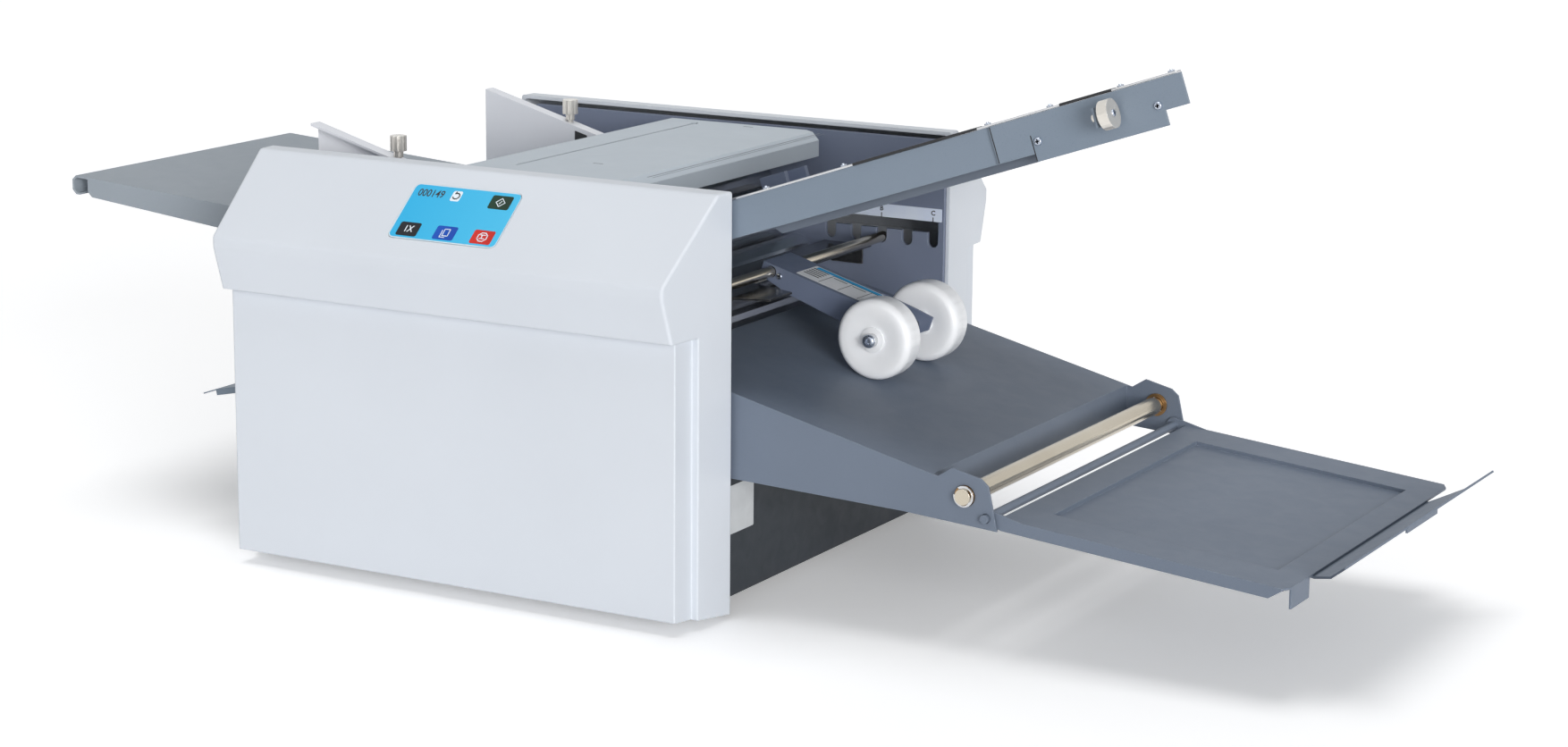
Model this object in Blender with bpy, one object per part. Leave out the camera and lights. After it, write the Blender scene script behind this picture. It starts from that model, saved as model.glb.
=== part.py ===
"""Desktop paper folding machine, built as separate pieces.

+X is the side where folded sheets come out, -X is the infeed side, -Y is the operator's side
with the touch panel, +Z is up. All sizes are in metres.
"""
import math

import bmesh
import bpy
from mathutils import Matrix, Vector

# Clearances shared by all pieces
FIT_GAP = 0.0003
SHAFT_PLAY = 0.0004
OVERRUN = 0.004

# Sheet metal
SHEET = 0.0015
THIN_SHEET = 0.0010
FRAME_WALL = 0.003

# Body: two side frames on a base pan, standing on four rubber feet
FRAME_SPAN = 0.321
FRAME_PLAY = 0.0005
FRAME_LEFT = 0.190
FRAME_RIGHT = 0.192
FRAME_TOP = 0.294
FRAME_CORNER = 0.012
FOOT_HEIGHT = 0.008
FOOT_RADIUS = 0.013
FOOT_TOP_RADIUS = 0.011
FOOT_INSET_X = 0.030
FOOT_INSET_Y = 0.030
PAN_LEFT = 0.184
PAN_RIGHT = 0.181
PAN_WALL_TOP = 0.098

# Side covers: moulded shells, the same at the front and at the rear
COVER_LENGTH = 0.390
COVER_GAP = 0.0005
COVER_WALL = 0.003
COVER_TOP = 0.300
COVER_FOOT = 0.003
PANEL_FOOT = 0.010
CREST_DEPTH = 0.015
NOSE_DEPTH = 0.079
NOSE_TOP = 0.245
NOSE_BOTTOM = 0.237
LIP_DEPTH = 0.068
LIP_HEIGHT = 0.205
PANEL_DEPTH = 0.060
PANEL_INSET = 0.0085
STRIP_DEPTH = 0.038
END_DRAFT = 0.007
COVER_ROUND = 0.0030
COVER_LOWER_ROUND_SHARE = 0.5

# Touch panel on the slanted face of the front cover
SCREEN_WIDTH = 0.090
SCREEN_HEIGHT = 0.0495
SCREEN_THICKNESS = 0.006
SCREEN_CORNER = 0.005
SCREEN_PROUD = 0.0004
SCREEN_CENTRE_DROP = 0.042
BOARD_WIDTH = 0.104
BOARD_HEIGHT = 0.056
BOARD_THICKNESS = 0.0016

# Fold rollers: four equal rollers, each pair forming one nip
NIP_X = 0.037
NIP_Z = 0.234
FOLD_PITCH = math.radians(18.87)
ROLLER_RADIUS = 0.017
ROLLER_GAP = 0.0004
ROLLER_SIDE_GAP = 0.0105
ROLLER_HALF = FRAME_SPAN / 2 - ROLLER_SIDE_GAP
ROLLER_SHAFT = 0.005
LOWER_NIP_TURN = math.radians(-40.0)
EXIT_NIP_TURN = math.radians(-87.5)
GEAR_TEETH = 16
GEAR_ADDENDUM = 0.0012
GEAR_DEDENDUM = 0.0017
GEAR_WIDTH = 0.009
GEAR_OFFSET = 0.003
TOOTH_ROOT_SHARE = 0.46
TOOTH_TIP_SHARE = 0.22

# Drive: motor, pulleys and toothed belts
MOTOR_X = -0.080
MOTOR_Z = 0.062
MOTOR_RADIUS = 0.036
MOTOR_LENGTH = 0.115
MOTOR_BOSS_RADIUS = 0.012
MOTOR_SHAFT = 0.004
PULLEY_WIDTH = 0.009
BELT_WIDTH = 0.007
BELT_THICKNESS = 0.0014
MOTOR_PULLEY_RADIUS = 0.010
DRIVEN_PULLEY_RADIUS = 0.016
FEED_PULLEY_RADIUS = 0.012
PULLEY_STEP = 0.002

# Hopper table and feed roller
TABLE_LEFT = -0.192
TABLE_RIGHT = 0.013
TABLE_LEFT_Z = 0.2425
TABLE_PITCH = math.radians(5.0)
TABLE_HALF = FRAME_SPAN / 2 - FRAME_PLAY
TABLE_FLANGE = 0.012
FEED_X = -0.010
FEED_RADIUS = 0.020
FEED_PROUD = 0.001
FEED_TYRE_WIDTH = 0.026
FEED_TYRE_PITCH = 0.056
FEED_TYRE_WALL = 0.006
FEED_SHAFT = 0.005
TYRE_WINDOW_PLAY = 0.002
TIE_BAR_X = -0.180
TIE_BAR_Z = 0.2290
TIE_BAR_RADIUS = 0.005

# Sheet separator over the feed roller
HOLDER_LEFT = -0.012
HOLDER_RIGHT = 0.006
HOLDER_BOTTOM = 0.246
HOLDER_SHOULDER = 0.260
HOLDER_POST_HALF = 0.020
PAD_HALF_WIDTH = 0.018
PAD_LENGTH = 0.012
PAD_FOOT_GAP = 0.0008

# Side guides of the hopper, with their clamps and thumb knobs
PAPER_HALF_WIDTH = 0.108
GUIDE_GAP = 0.0005
GUIDE_LEFT = -0.1926
GUIDE_RIGHT = -0.060
GUIDE_TOP_Z = 0.311
GUIDE_PITCH = math.radians(15.3)
GUIDE_WALL = 0.002
GUIDE_FLANGE = 0.011
GUIDE_LIFT = 0.0003
CLAMP_LEFT = -0.108
CLAMP_WIDTH = 0.011
CLAMP_TOP_DROP = 0.004
CLAMP_FOOT_DEPTH = 0.004
CLAMP_FOOT_WIDTH = 0.014
GUIDE_OUTWARD = 0.024
GUIDE_INWARD = 0.050
THUMB_X = -0.1165
THUMB_STEM = 0.0022
THUMB_COLLAR = 0.0036
THUMB_HEAD = 0.0061
THUMB_HEAD_HEIGHT = 0.011
THUMB_NECK_HEIGHT = 0.005
KNURL_COUNT = 14
KNURL_DEPTH = 0.0004
SLOT_PLAY = 0.002

# Infeed tray hooked on the tie bar
TRAY_LEFT = -0.412
TRAY_RIGHT = -0.1965
TRAY_LEFT_Z = 0.2556
TRAY_PITCH = math.radians(3.9)
TRAY_HALF = 0.134
TRAY_FLANGE_LEFT = 0.015
TRAY_FLANGE_RIGHT = 0.021
TRAY_ROLL_LENGTH = 0.015
TRAY_ROLL_DROP = 0.015
TRAY_ROLL_LIP = 0.007
TRAY_CHAMFER = 0.004
TRAY_HOOK_RIGHT = -0.171
HOOK_TOP_DROP = 0.0005

# Lid over the feed section
LID_LEFT = -0.041
LID_RIGHT = 0.089
LID_SIDE_GAP = 0.0145
LID_HALF = FRAME_SPAN / 2 - LID_SIDE_GAP
LID_TOP = 0.295
LID_SKIRT_BOTTOM = 0.2766
LID_CHAMFER = 0.007
LID_BEVEL_DROP = 0.006
LID_BEVEL_RUN = 0.0055
LID_WALL = 0.002
LID_PIVOT_X = -0.036
LID_PIVOT_Z = 0.2815
LID_PIN_RADIUS = 0.003
LID_SLOT_X = -0.011
LID_SLOT_WIDTH = 0.0024
LID_SLOT_START = -0.118
LID_SLOT_END = 0.135
LID_SLOT_TIP = 0.008

# Upper fold plate: a pocket between a lower deck and an upper grid
PLATE_START = 0.022
PLATE_PLAY = 0.0006
PLATE_HALF = FRAME_SPAN / 2 - PLATE_PLAY
PLATE_TOP = 0.0055
PLATE_FLANGE_FOOT = -0.0195
POCKET_GAP = 0.003
PLATE_JOINT = 0.369
PLATE_DECK_END = 0.356
PLATE_NARROW = -0.0128
PLATE_TONGUE_END = 0.412
PLATE_RELIEF_START = 0.345
CHANNEL_START = 0.170
CHANNEL_END = 0.392
CHANNEL_FLOOR_END = 0.345
CHANNEL_INSET = 0.0099
CHANNEL_HALF = PLATE_HALF - CHANNEL_INSET
CHANNEL_FOOT = -0.025
GRID_WINDOW_START = 0.165
GRID_WINDOW_LENGTH = 0.080
GRID_WINDOW_PITCH = 0.093
GRID_RIB = 0.012
GRID_BARS = 3
GRID_ROWS = 2
LATCH_X = 0.084
LATCH_Y = 0.036
LATCH_LENGTH = 0.022
LATCH_WIDTH = 0.034
LATCH_HEIGHT = 0.014
LATCH_WALL = 0.004
BRACKET_FOOT = -0.0248
BRACKET_NOTCH_START = 0.4922
BRACKET_NOTCH_FOOT = -0.0150
BRACKET_STEP = 0.3965
BRACKET_END = 0.5092
KNOB_U = 0.456
KNOB_V = -0.0077
KNOB_RADIUS = 0.0097
KNOB_LENGTH = 0.0072
KNOB_STANDOFF = 0.0125
KNOB_SHAFT = 0.0025
KNOB_NECK = 0.003
TAB_HALF_HEIGHT = 0.0065
TAB_REACH = 0.018
STOP_U = 0.245
STOP_LENGTH = 0.014
STOP_SIDE_GAP = 0.0199
STOP_HALF = PLATE_HALF - STOP_SIDE_GAP
STOP_FINGER_LENGTH = 0.012
STOP_FINGER_WIDTH = 0.014
STOP_FINGERS = 6

# Lower fold plate: a thin closed pocket that leaves the body at the infeed side
LOWER_START_X = 0.0417
LOWER_START_Z = 0.1895
LOWER_BEND_X = 0.022
LOWER_BEND_Z = 0.171
LOWER_KNEE_X = -0.005
LOWER_KNEE_Z = 0.1625
LOWER_END_X = -0.256
LOWER_END_Z = 0.1095
LOWER_TIP_LENGTH = 0.012
LOWER_TIP_DROP = 0.0042
LOWER_POCKET = 0.0028
LOWER_HALF = FRAME_SPAN / 2 - FRAME_PLAY
LOWER_RIM = 0.006
LOWER_STOP_X = -0.190
LOWER_STOP_LENGTH = 0.012
LOWER_STOP_SIDE_GAP = 0.015
LOWER_STOP_HALF = LOWER_HALF - LOWER_STOP_SIDE_GAP

# Wheel shaft lying in the notched slots of the frames
NOTCH_FIRST_X = 0.094
NOTCH_PITCH = 0.0222
NOTCH_COUNT = 5
NOTCH_RADIUS = 0.0045
NOTCH_SEAT_Z = 0.215
NOTCH_SLOT_BOTTOM = 0.222
NOTCH_SLOT_TOP = 0.231
SHAFT_NOTCH = 2
WHEEL_SHAFT_RADIUS = 0.004

# Exit wheel arm and its two wheels
ARM_Y = 0.009
ARM_HALF = 0.020
ARM_REACH = 0.1048
ARM_WALL = 0.0015
ARM_HEEL = 0.008
ARM_TOE = 0.0112
ARM_TOP_END = 0.074
ARM_TOP_HEEL = 0.0052
ARM_TOP_RISE = 0.0099
ARM_TOE_START = 0.099
ARM_TOE_RISE = 0.0108
ARM_TOE_CHAMFER = 0.011
ARM_TOE_CHAMFER_Z = 0.0005
ARM_FOOT_HEEL = 0.0060
ARM_FOOT_TOE = 0.0095
ARM_FOOT_START = 0.020
WHEEL_RADIUS = 0.0293
WHEEL_WIDTH = 0.022
WHEEL_SPACING = 0.074
WHEEL_RIM_WALL = 0.0055
WHEEL_WEB = 0.015
WHEEL_HUB_RADIUS = 0.009
WHEEL_ROUND = 0.005
AXLE_RADIUS = 0.003
AXLE_HEAD_RADIUS = 0.0050
AXLE_HEAD = 0.004

# Exit guide under the wheel shaft
GUIDE_PLATE_LEFT = 0.089
GUIDE_PLATE_RIGHT = 0.130
GUIDE_PLATE_Z = 0.2065
GUIDE_PLATE_HALF = FRAME_SPAN / 2 - FRAME_PLAY
TONGUE_REACH = 0.042
TONGUE_BASE_HALF = 0.032
TONGUE_TIP_HALF = 0.016
TONGUE_Y = -0.055
GUIDE_EAR = 0.014

# Exit chute: an upside-down channel with tapering flanges and two ears
CHUTE_LEFT = 0.125
CHUTE_MOUTH_X = 0.195
CHUTE_MOUTH_Z = 0.1597
CHUTE_PITCH = math.radians(13.5)
CHUTE_FLOOR_END = 0.348
CHUTE_HALF = FRAME_SPAN / 2 - FRAME_PLAY
CHUTE_FOOT_X = 0.325
CHUTE_FOOT_Z = 0.0945
CHUTE_FOOT_START = -0.003
CHUTE_FOOT_START_Z = 0.1065
EAR_NOTCH_X = 0.352
EAR_RISE_X = 0.363
EAR_RISE_Z = 0.1290
EAR_CREST_X = 0.384
EAR_CREST_Z = 0.1240
EAR_SHOULDER_X = 0.3895
EAR_SHOULDER_Z = 0.1195
EAR_FOOT_X = 0.3965
EAR_FOOT_Z = 0.0895
ROLLER_X = 0.3725
ROLLER_Z = 0.1110
TRAY_ROLLER_RADIUS = 0.0065
TRAY_ROLLER_SHOULDER = 0.008
TRAY_ROLLER_HALF = CHUTE_HALF - TRAY_ROLLER_SHOULDER
TRAY_SHAFT_RADIUS = 0.0055
TRAY_SHAFT_STUB = 0.0045
BUSHING_RADIUS = 0.0072
BUSHING_FLANGE_RADIUS = 0.0085
BUSHING_FLANGE = 0.0012

# Extension tray hinged on a rod between the ears
HINGE_X = 0.3880
HINGE_Z = 0.0975
HINGE_RADIUS = 0.003
LUG_RADIUS = 0.0060
SHELF_START = 0.3975
SHELF_END = 0.600
SHELF_Z = 0.0985
SHELF_PITCH = math.radians(5.4)
SHELF_PLAY = 0.0025
SHELF_HALF = CHUTE_HALF - SHELF_PLAY
SHELF_FLANGE = 0.0085
SHELF_CORNER = 0.004
SHELF_FLANGE_SLANT = 0.017
LUG_LEAD = 0.016
SHELF_CORNER_WIDTH = 0.0075
WELL_START = 0.420
WELL_END = 0.580
WELL_HALF = 0.122
WELL_DEPTH = 0.003
TAB_WIDTH = 0.032
TAB_DROP = 0.0145
LIP_RUN = 0.034
LIP_RISE = 0.0195
LIP_BEND_RUN = 0.019
LIP_BEND_RISE = 0.0075
LIP_ROOT_HALF = 0.112
LIP_TIP_HALF = 0.148
LIP_TAB_HALF = 0.030
LIP_TAB_DROP = 0.005

# Power inlet and rocker switch in the pan's infeed wall
INLET_Y = 0.090
INLET_HALF_WIDTH = 0.0135
INLET_HALF_HEIGHT = 0.010
INLET_Z = 0.040
INLET_DEPTH = 0.020
INLET_FLANGE = 0.0025
INLET_WALL = 0.0035
PRONG_HALF_WIDTH = 0.0011
PRONG_HALF_HEIGHT = 0.002
PRONG_PITCH = 0.007
SWITCH_Y = 0.052
SWITCH_HALF_WIDTH = 0.0065
SWITCH_HALF_HEIGHT = 0.010
SWITCH_DEPTH = 0.006
SWITCH_BULGE = 0.003
SWITCH_PLAY = 0.0015
SWITCH_FOOT_SHARE = 0.8

# Numbers of straight sides on round shapes
FINE_SIDES = 28
ROUND_SIDES = 24
SMALL_SIDES = 16
COVER_ROUND_STEPS = 2
ROUND_LIMIT = math.radians(18.0)

# Colours, as linear red, green and blue
WHITE_PLASTIC = (0.70, 0.72, 0.75)
SHEET_GREY = (0.20, 0.24, 0.29)
LID_GREY = (0.42, 0.47, 0.52)
DARK_GREY = (0.055, 0.065, 0.080)
PAN_GREY = (0.060, 0.070, 0.080)
SCREEN_CYAN = (0.06, 0.50, 0.83)
NYLON = (0.86, 0.87, 0.88)
RUBBER_BLACK = (0.02, 0.02, 0.02)
STEEL = (0.60, 0.60, 0.61)
BRONZE = (0.52, 0.33, 0.13)
BOARD_GREEN = (0.02, 0.16, 0.07)
BLACK_PLASTIC = (0.015, 0.015, 0.016)
GUIDE_GREY = (0.48, 0.49, 0.51)

# Places worked out from the sizes above
FRAME_INNER = FRAME_SPAN / 2
FRAME_OUTER = FRAME_INNER + FRAME_WALL
COVER_INNER = FRAME_OUTER + COVER_GAP
FRAME_FOOT = FOOT_HEIGHT + SHEET + FIT_GAP
ROLLER_PITCH = 2 * ROLLER_RADIUS + ROLLER_GAP
GEAR_PITCH_RADIUS = ROLLER_PITCH / 2
SHELF_DIP = math.tan(SHELF_PITCH)
BODY_X = -(SHELF_END + LIP_RUN + TRAY_LEFT) / 2


def table_z(x):
    """Height of the hopper table's upper face at x."""
    return TABLE_LEFT_Z - math.tan(TABLE_PITCH) * (x - TABLE_LEFT)


def guide_top_z(x):
    """Height of the side guides' sloping top at x."""
    return GUIDE_TOP_Z - math.tan(GUIDE_PITCH) * (x - GUIDE_LEFT)


def chute_z(x):
    """Height of the exit chute's upper face at x."""
    return CHUTE_MOUTH_Z - math.tan(CHUTE_PITCH) * (x - CHUTE_MOUTH_X)


def shelf_z(x):
    """Height of the extension tray's upper face at x."""
    return SHELF_Z - SHELF_DIP * (x - SHELF_START)


def infeed_z(x):
    """Height of the infeed tray's upper face at x."""
    return TRAY_LEFT_Z - math.tan(TRAY_PITCH) * (x - TRAY_LEFT)


def roller_places():
    """Axis places (x, z) of the four fold rollers."""
    half = ROLLER_PITCH / 2
    first = (NIP_X - half * math.sin(FOLD_PITCH), NIP_Z + half * math.cos(FOLD_PITCH))
    second = (NIP_X + half * math.sin(FOLD_PITCH), NIP_Z - half * math.cos(FOLD_PITCH))
    places = [first, second]
    for turn in (LOWER_NIP_TURN, EXIT_NIP_TURN):
        x, z = places[-1]
        places.append((x + ROLLER_PITCH * math.cos(turn), z + ROLLER_PITCH * math.sin(turn)))
    return places


def wheel_shaft_place():
    """Axis place (x, z) of the wheel shaft in its notch."""
    return (NOTCH_FIRST_X + SHAFT_NOTCH * NOTCH_PITCH, NOTCH_SEAT_Z)


def arm_pitch():
    """Angle below level of the arm, with its wheels resting on the chute."""
    x, z = wheel_shaft_place()
    height = (z - chute_z(x)) * math.cos(CHUTE_PITCH) - WHEEL_RADIUS - FIT_GAP
    return math.asin(height / ARM_REACH) + CHUTE_PITCH


def feed_place():
    """Axis place (x, z) of the feed roller."""
    return (FEED_X, table_z(FEED_X) + FEED_PROUD - FEED_RADIUS)


def clear_scene():
    for item in list(bpy.data.objects):
        bpy.data.objects.remove(item, do_unlink=True)


def make_material(name, colour, roughness, metallic=0.0):
    material = bpy.data.materials.new(name)
    material.use_nodes = True
    shader = material.node_tree.nodes["Principled BSDF"]
    shader.inputs["Base Color"].default_value = (colour[0], colour[1], colour[2], 1.0)
    shader.inputs["Roughness"].default_value = roughness
    shader.inputs["Metallic"].default_value = metallic
    material.diffuse_color = (colour[0], colour[1], colour[2], 1.0)
    return material


def add_empty(name, place, parent=None, turn_y=0.0):
    empty = bpy.data.objects.new(name, None)
    empty.location = place
    empty.rotation_euler = (0.0, turn_y, 0.0)
    empty.parent = parent
    bpy.context.scene.collection.objects.link(empty)
    return empty


def turn_outward(mesh, direction):
    """Point a shell's faces away from its inside, judged by the face furthest in a direction."""
    bmesh.ops.recalc_face_normals(mesh, faces=mesh.faces[:])
    furthest = max(mesh.faces, key=lambda face: face.calc_center_median().dot(direction))
    if furthest.normal.dot(direction) < 0.0:
        bmesh.ops.reverse_faces(mesh, faces=mesh.faces[:])


def add_piece(name, mesh, material, parent, place=(0.0, 0.0, 0.0), smooth=False, shell=False):
    """Turn a bmesh into a named object under its parent."""
    if not shell:
        bmesh.ops.recalc_face_normals(mesh, faces=mesh.faces[:])
    data = bpy.data.meshes.new(name)
    mesh.to_mesh(data)
    mesh.free()
    for face in data.polygons:
        face.use_smooth = smooth
    piece = bpy.data.objects.new(name, data)
    piece.location = place
    piece.parent = parent
    if material is not None:
        data.materials.append(material)
    bpy.context.scene.collection.objects.link(piece)
    return piece


def add_guide(name, mesh, like):
    """Add a solid that only cuts or joins, placed as the piece that it works on."""
    guide = add_piece(name, mesh, None, like.parent, like.location)
    guide.rotation_euler = like.rotation_euler
    guide.hide_render = True
    guide.display_type = "WIRE"
    return guide


def cut(piece, mesh, label="cut"):
    guide = add_guide(piece.name + "_" + label, mesh, piece)
    step = piece.modifiers.new(label, "BOOLEAN")
    step.operation = "DIFFERENCE"
    step.solver = "EXACT"
    step.object = guide
    return guide


def join(piece, mesh, label="join"):
    guide = add_guide(piece.name + "_" + label, mesh, piece)
    step = piece.modifiers.new(label, "BOOLEAN")
    step.operation = "UNION"
    step.solver = "EXACT"
    step.object = guide
    return guide


def on_axis(axis, first, second, along):
    """Place a profile point (first, second) at a distance along an axis."""
    if axis == "X":
        return Vector((along, first, second))
    if axis == "Y":
        return Vector((first, along, second))
    return Vector((first, second, along))


def prism(mesh, outline, axis, low, high):
    """Extrude a closed outline from low to high along an axis."""
    base = [mesh.verts.new(on_axis(axis, a, b, low)) for a, b in outline]
    face = mesh.faces.new(base)
    grown = bmesh.ops.extrude_face_region(mesh, geom=[face])
    moved = [item for item in grown["geom"] if isinstance(item, bmesh.types.BMVert)]
    shift = on_axis(axis, 0.0, 0.0, high - low)
    bmesh.ops.translate(mesh, verts=moved, vec=shift)


def box(mesh, x_range, y_range, z_range):
    outline = [(x_range[0], y_range[0]), (x_range[1], y_range[0]),
               (x_range[1], y_range[1]), (x_range[0], y_range[1])]
    prism(mesh, outline, "Z", z_range[0], z_range[1])


def circle(centre, radius, sides):
    points = []
    for index in range(sides):
        angle = 2 * math.pi * (index + 0.5) / sides
        points.append((centre[0] + radius * math.cos(angle), centre[1] + radius * math.sin(angle)))
    return points


def cylinder(mesh, axis, centre, radius, low, high, sides=ROUND_SIDES):
    prism(mesh, circle(centre, radius, sides), axis, low, high)


def arc(centre, radius, start, end, steps):
    points = []
    for index in range(steps + 1):
        angle = start + (end - start) * index / steps
        points.append((centre[0] + radius * math.cos(angle), centre[1] + radius * math.sin(angle)))
    return points


def rounded_rectangle(half_width, half_height, radius, steps=5):
    points = []
    quarter = math.pi / 2
    corners = [(half_width, half_height), (-half_width, half_height),
               (-half_width, -half_height), (half_width, -half_height)]
    for index, corner in enumerate(corners):
        side_x = math.copysign(1.0, corner[0])
        side_y = math.copysign(1.0, corner[1])
        centre = (corner[0] - side_x * radius, corner[1] - side_y * radius)
        points += arc(centre, radius, index * quarter, (index + 1) * quarter, steps)
    return points


def turned(mesh, stations, sides, axis="Y", centre=(0.0, 0.0)):
    """Spin a stepped or shaped profile of (distance along the axis, radius) points."""
    points = []
    for along, radius in stations:
        points.append(mesh.verts.new(on_axis(axis, centre[0] + radius, centre[1], along)))
    edges = [mesh.edges.new(pair) for pair in zip(points, points[1:])]
    pole = {"X": (1, 0, 0), "Y": (0, 1, 0), "Z": (0, 0, 1)}[axis]
    bmesh.ops.spin(mesh, geom=points + edges, cent=on_axis(axis, centre[0], centre[1], 0.0),
                   axis=pole, angle=2 * math.pi, steps=sides, use_merge=True)
    bmesh.ops.remove_doubles(mesh, verts=mesh.verts[:], dist=FIT_GAP / 100)


def stepped(sections):
    """Profile of a solid stepped shaft from (start, end, radius) sections."""
    stations = [(sections[0][0], 0.0)]
    for start, end, radius in sections:
        stations.append((start, radius))
        stations.append((end, radius))
    stations.append((sections[-1][1], 0.0))
    return stations


def ring(mesh, outer, inner, axis, low, high):
    """Extrude the band between two outlines that have the same number of points."""
    rows = []
    for outline, along in ((outer, low), (outer, high), (inner, high), (inner, low)):
        rows.append([mesh.verts.new(on_axis(axis, a, b, along)) for a, b in outline])
    count = len(outer)
    for row, following in zip(rows, rows[1:] + rows[:1]):
        for index in range(count):
            after = (index + 1) % count
            mesh.faces.new((row[index], row[after], following[after], following[index]))


def sheet_strip(path, thickness):
    """Closed outline of a sheet that follows a path, grown to the path's left side."""
    offset = []
    for index, point in enumerate(path):
        normals = []
        for start, end in ((index - 1, index), (index, index + 1)):
            if start < 0 or end >= len(path):
                continue
            run = Vector(path[end]) - Vector(path[start])
            normals.append(Vector((-run.y, run.x)).normalized())
        mean = sum(normals, Vector((0.0, 0.0))).normalized()
        reach = thickness / mean.dot(normals[0])
        offset.append((point[0] + mean.x * reach, point[1] + mean.y * reach))
    return list(path) + offset[::-1]


def gear_outline(phase):
    points = []
    root = GEAR_PITCH_RADIUS - GEAR_DEDENDUM
    tip = GEAR_PITCH_RADIUS + GEAR_ADDENDUM
    step = 2 * math.pi / GEAR_TEETH
    for tooth in range(GEAR_TEETH):
        middle = phase + tooth * step
        for radius, share in ((root, -TOOTH_ROOT_SHARE), (tip, -TOOTH_TIP_SHARE),
                              (tip, TOOTH_TIP_SHARE), (root, TOOTH_ROOT_SHARE)):
            angle = middle + share * step / 2
            points.append((radius * math.cos(angle), radius * math.sin(angle)))
    return points


def belt_outline(first, first_radius, second, second_radius):
    """Closed path of an open belt around two pulleys."""
    run = Vector(second) - Vector(first)
    heading = math.atan2(run.y, run.x)
    opening = math.acos((first_radius - second_radius) / run.length)
    path = arc(first, first_radius, heading + opening, heading + 2 * math.pi - opening, ROUND_SIDES // 2)
    path += arc(second, second_radius, heading - opening, heading + opening, ROUND_SIDES // 2)
    return path


def mirrored_outline(right):
    return right + [(-x, depth) for x, depth in right[::-1]]


def cover_lower_outline():
    """Plan outline under the lip, as (x, depth) points from the inner plane."""
    half = COVER_LENGTH / 2
    edge = half - END_DRAFT * STRIP_DEPTH / NOSE_DEPTH
    panel = half - PANEL_INSET
    return mirrored_outline([(half, 0.0), (edge, STRIP_DEPTH), (panel, STRIP_DEPTH), (panel, PANEL_DEPTH)])


def cover_upper_outline(depth):
    """Plan outline above the lip, for a given depth of the face."""
    half = COVER_LENGTH / 2
    strip = STRIP_DEPTH * depth / LIP_DEPTH
    right = []
    for reach in (0.0, strip, (strip + depth) / 2, depth):
        right.append((half - END_DRAFT * reach / NOSE_DEPTH, reach))
    return mirrored_outline(right)


def cover_sections():
    """Rows of (x, depth, z) points from the foot of a cover to its top."""
    slope = (PANEL_FOOT - COVER_FOOT) / PANEL_DEPTH
    lower = cover_lower_outline()
    rows = [[(x, depth, COVER_FOOT + slope * depth) for x, depth in lower]]
    rows.append([(x, depth, LIP_HEIGHT) for x, depth in lower])
    for depth, height in ((LIP_DEPTH, LIP_HEIGHT), (NOSE_DEPTH, NOSE_BOTTOM),
                          (NOSE_DEPTH, NOSE_TOP), (CREST_DEPTH, COVER_TOP)):
        rows.append([(x, reach, height) for x, reach in cover_upper_outline(depth)])
    return rows


def mark_rounds(mesh, middle):
    """Gives each sharp edge its share of the cover's round, smaller below the given height."""
    layer = mesh.edges.layers.float.new("bevel_weight_edge")
    for edge in mesh.edges:
        if len(edge.link_faces) != 2 or edge.calc_face_angle() < ROUND_LIMIT:
            continue
        high = max(vert.co.z for vert in edge.verts) > middle
        edge[layer] = 1.0 if high else COVER_LOWER_ROUND_SHARE


def build_cover(name, side, material, root):
    """Moulded shell, open towards the frame; side is -1 at the front and 1 at the rear."""
    mesh = bmesh.new()
    rows = []
    for section in cover_sections():
        rows.append([mesh.verts.new((x, side * (COVER_INNER + depth), z)) for x, depth, z in section])
    for row, following in zip(rows, rows[1:]):
        for index in range(len(row) - 1):
            mesh.faces.new((row[index], row[index + 1], following[index + 1], following[index]))
    mesh.faces.new(rows[0])
    mesh.faces.new(rows[-1])
    bmesh.ops.remove_doubles(mesh, verts=mesh.verts[:], dist=FIT_GAP / 10)
    bmesh.ops.recalc_face_normals(mesh, faces=mesh.faces[:])
    mark_rounds(mesh, (LIP_HEIGHT + NOSE_BOTTOM) / 2)
    turn_outward(mesh, Vector((0.0, side, 0.0)))
    cover = add_piece(name, mesh, material, root, shell=True)
    wall = cover.modifiers.new("wall", "SOLIDIFY")
    wall.thickness = COVER_WALL
    wall.offset = -1.0
    wall.use_even_offset = True
    rounds = cover.modifiers.new("rounds", "BEVEL")
    rounds.limit_method = "WEIGHT"
    rounds.width = COVER_ROUND
    rounds.segments = COVER_ROUND_STEPS
    return cover


def slant_angle():
    """Angle below level of the covers' slanted face."""
    return math.atan2(COVER_TOP - NOSE_TOP, NOSE_DEPTH - CREST_DEPTH)


def slant_place():
    """Middle of the screen on the front cover's slanted face."""
    angle = slant_angle()
    drop = SCREEN_CENTRE_DROP
    return (0.0, -(COVER_INNER + CREST_DEPTH + drop * math.cos(angle)), COVER_TOP - drop * math.sin(angle))


def slant_empty(root):
    """Empty at the screen's centre, with its z axis square to the slanted face."""
    empty = add_empty("slant", slant_place(), root)
    empty.rotation_euler = (slant_angle(), 0.0, 0.0)
    return empty


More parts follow.
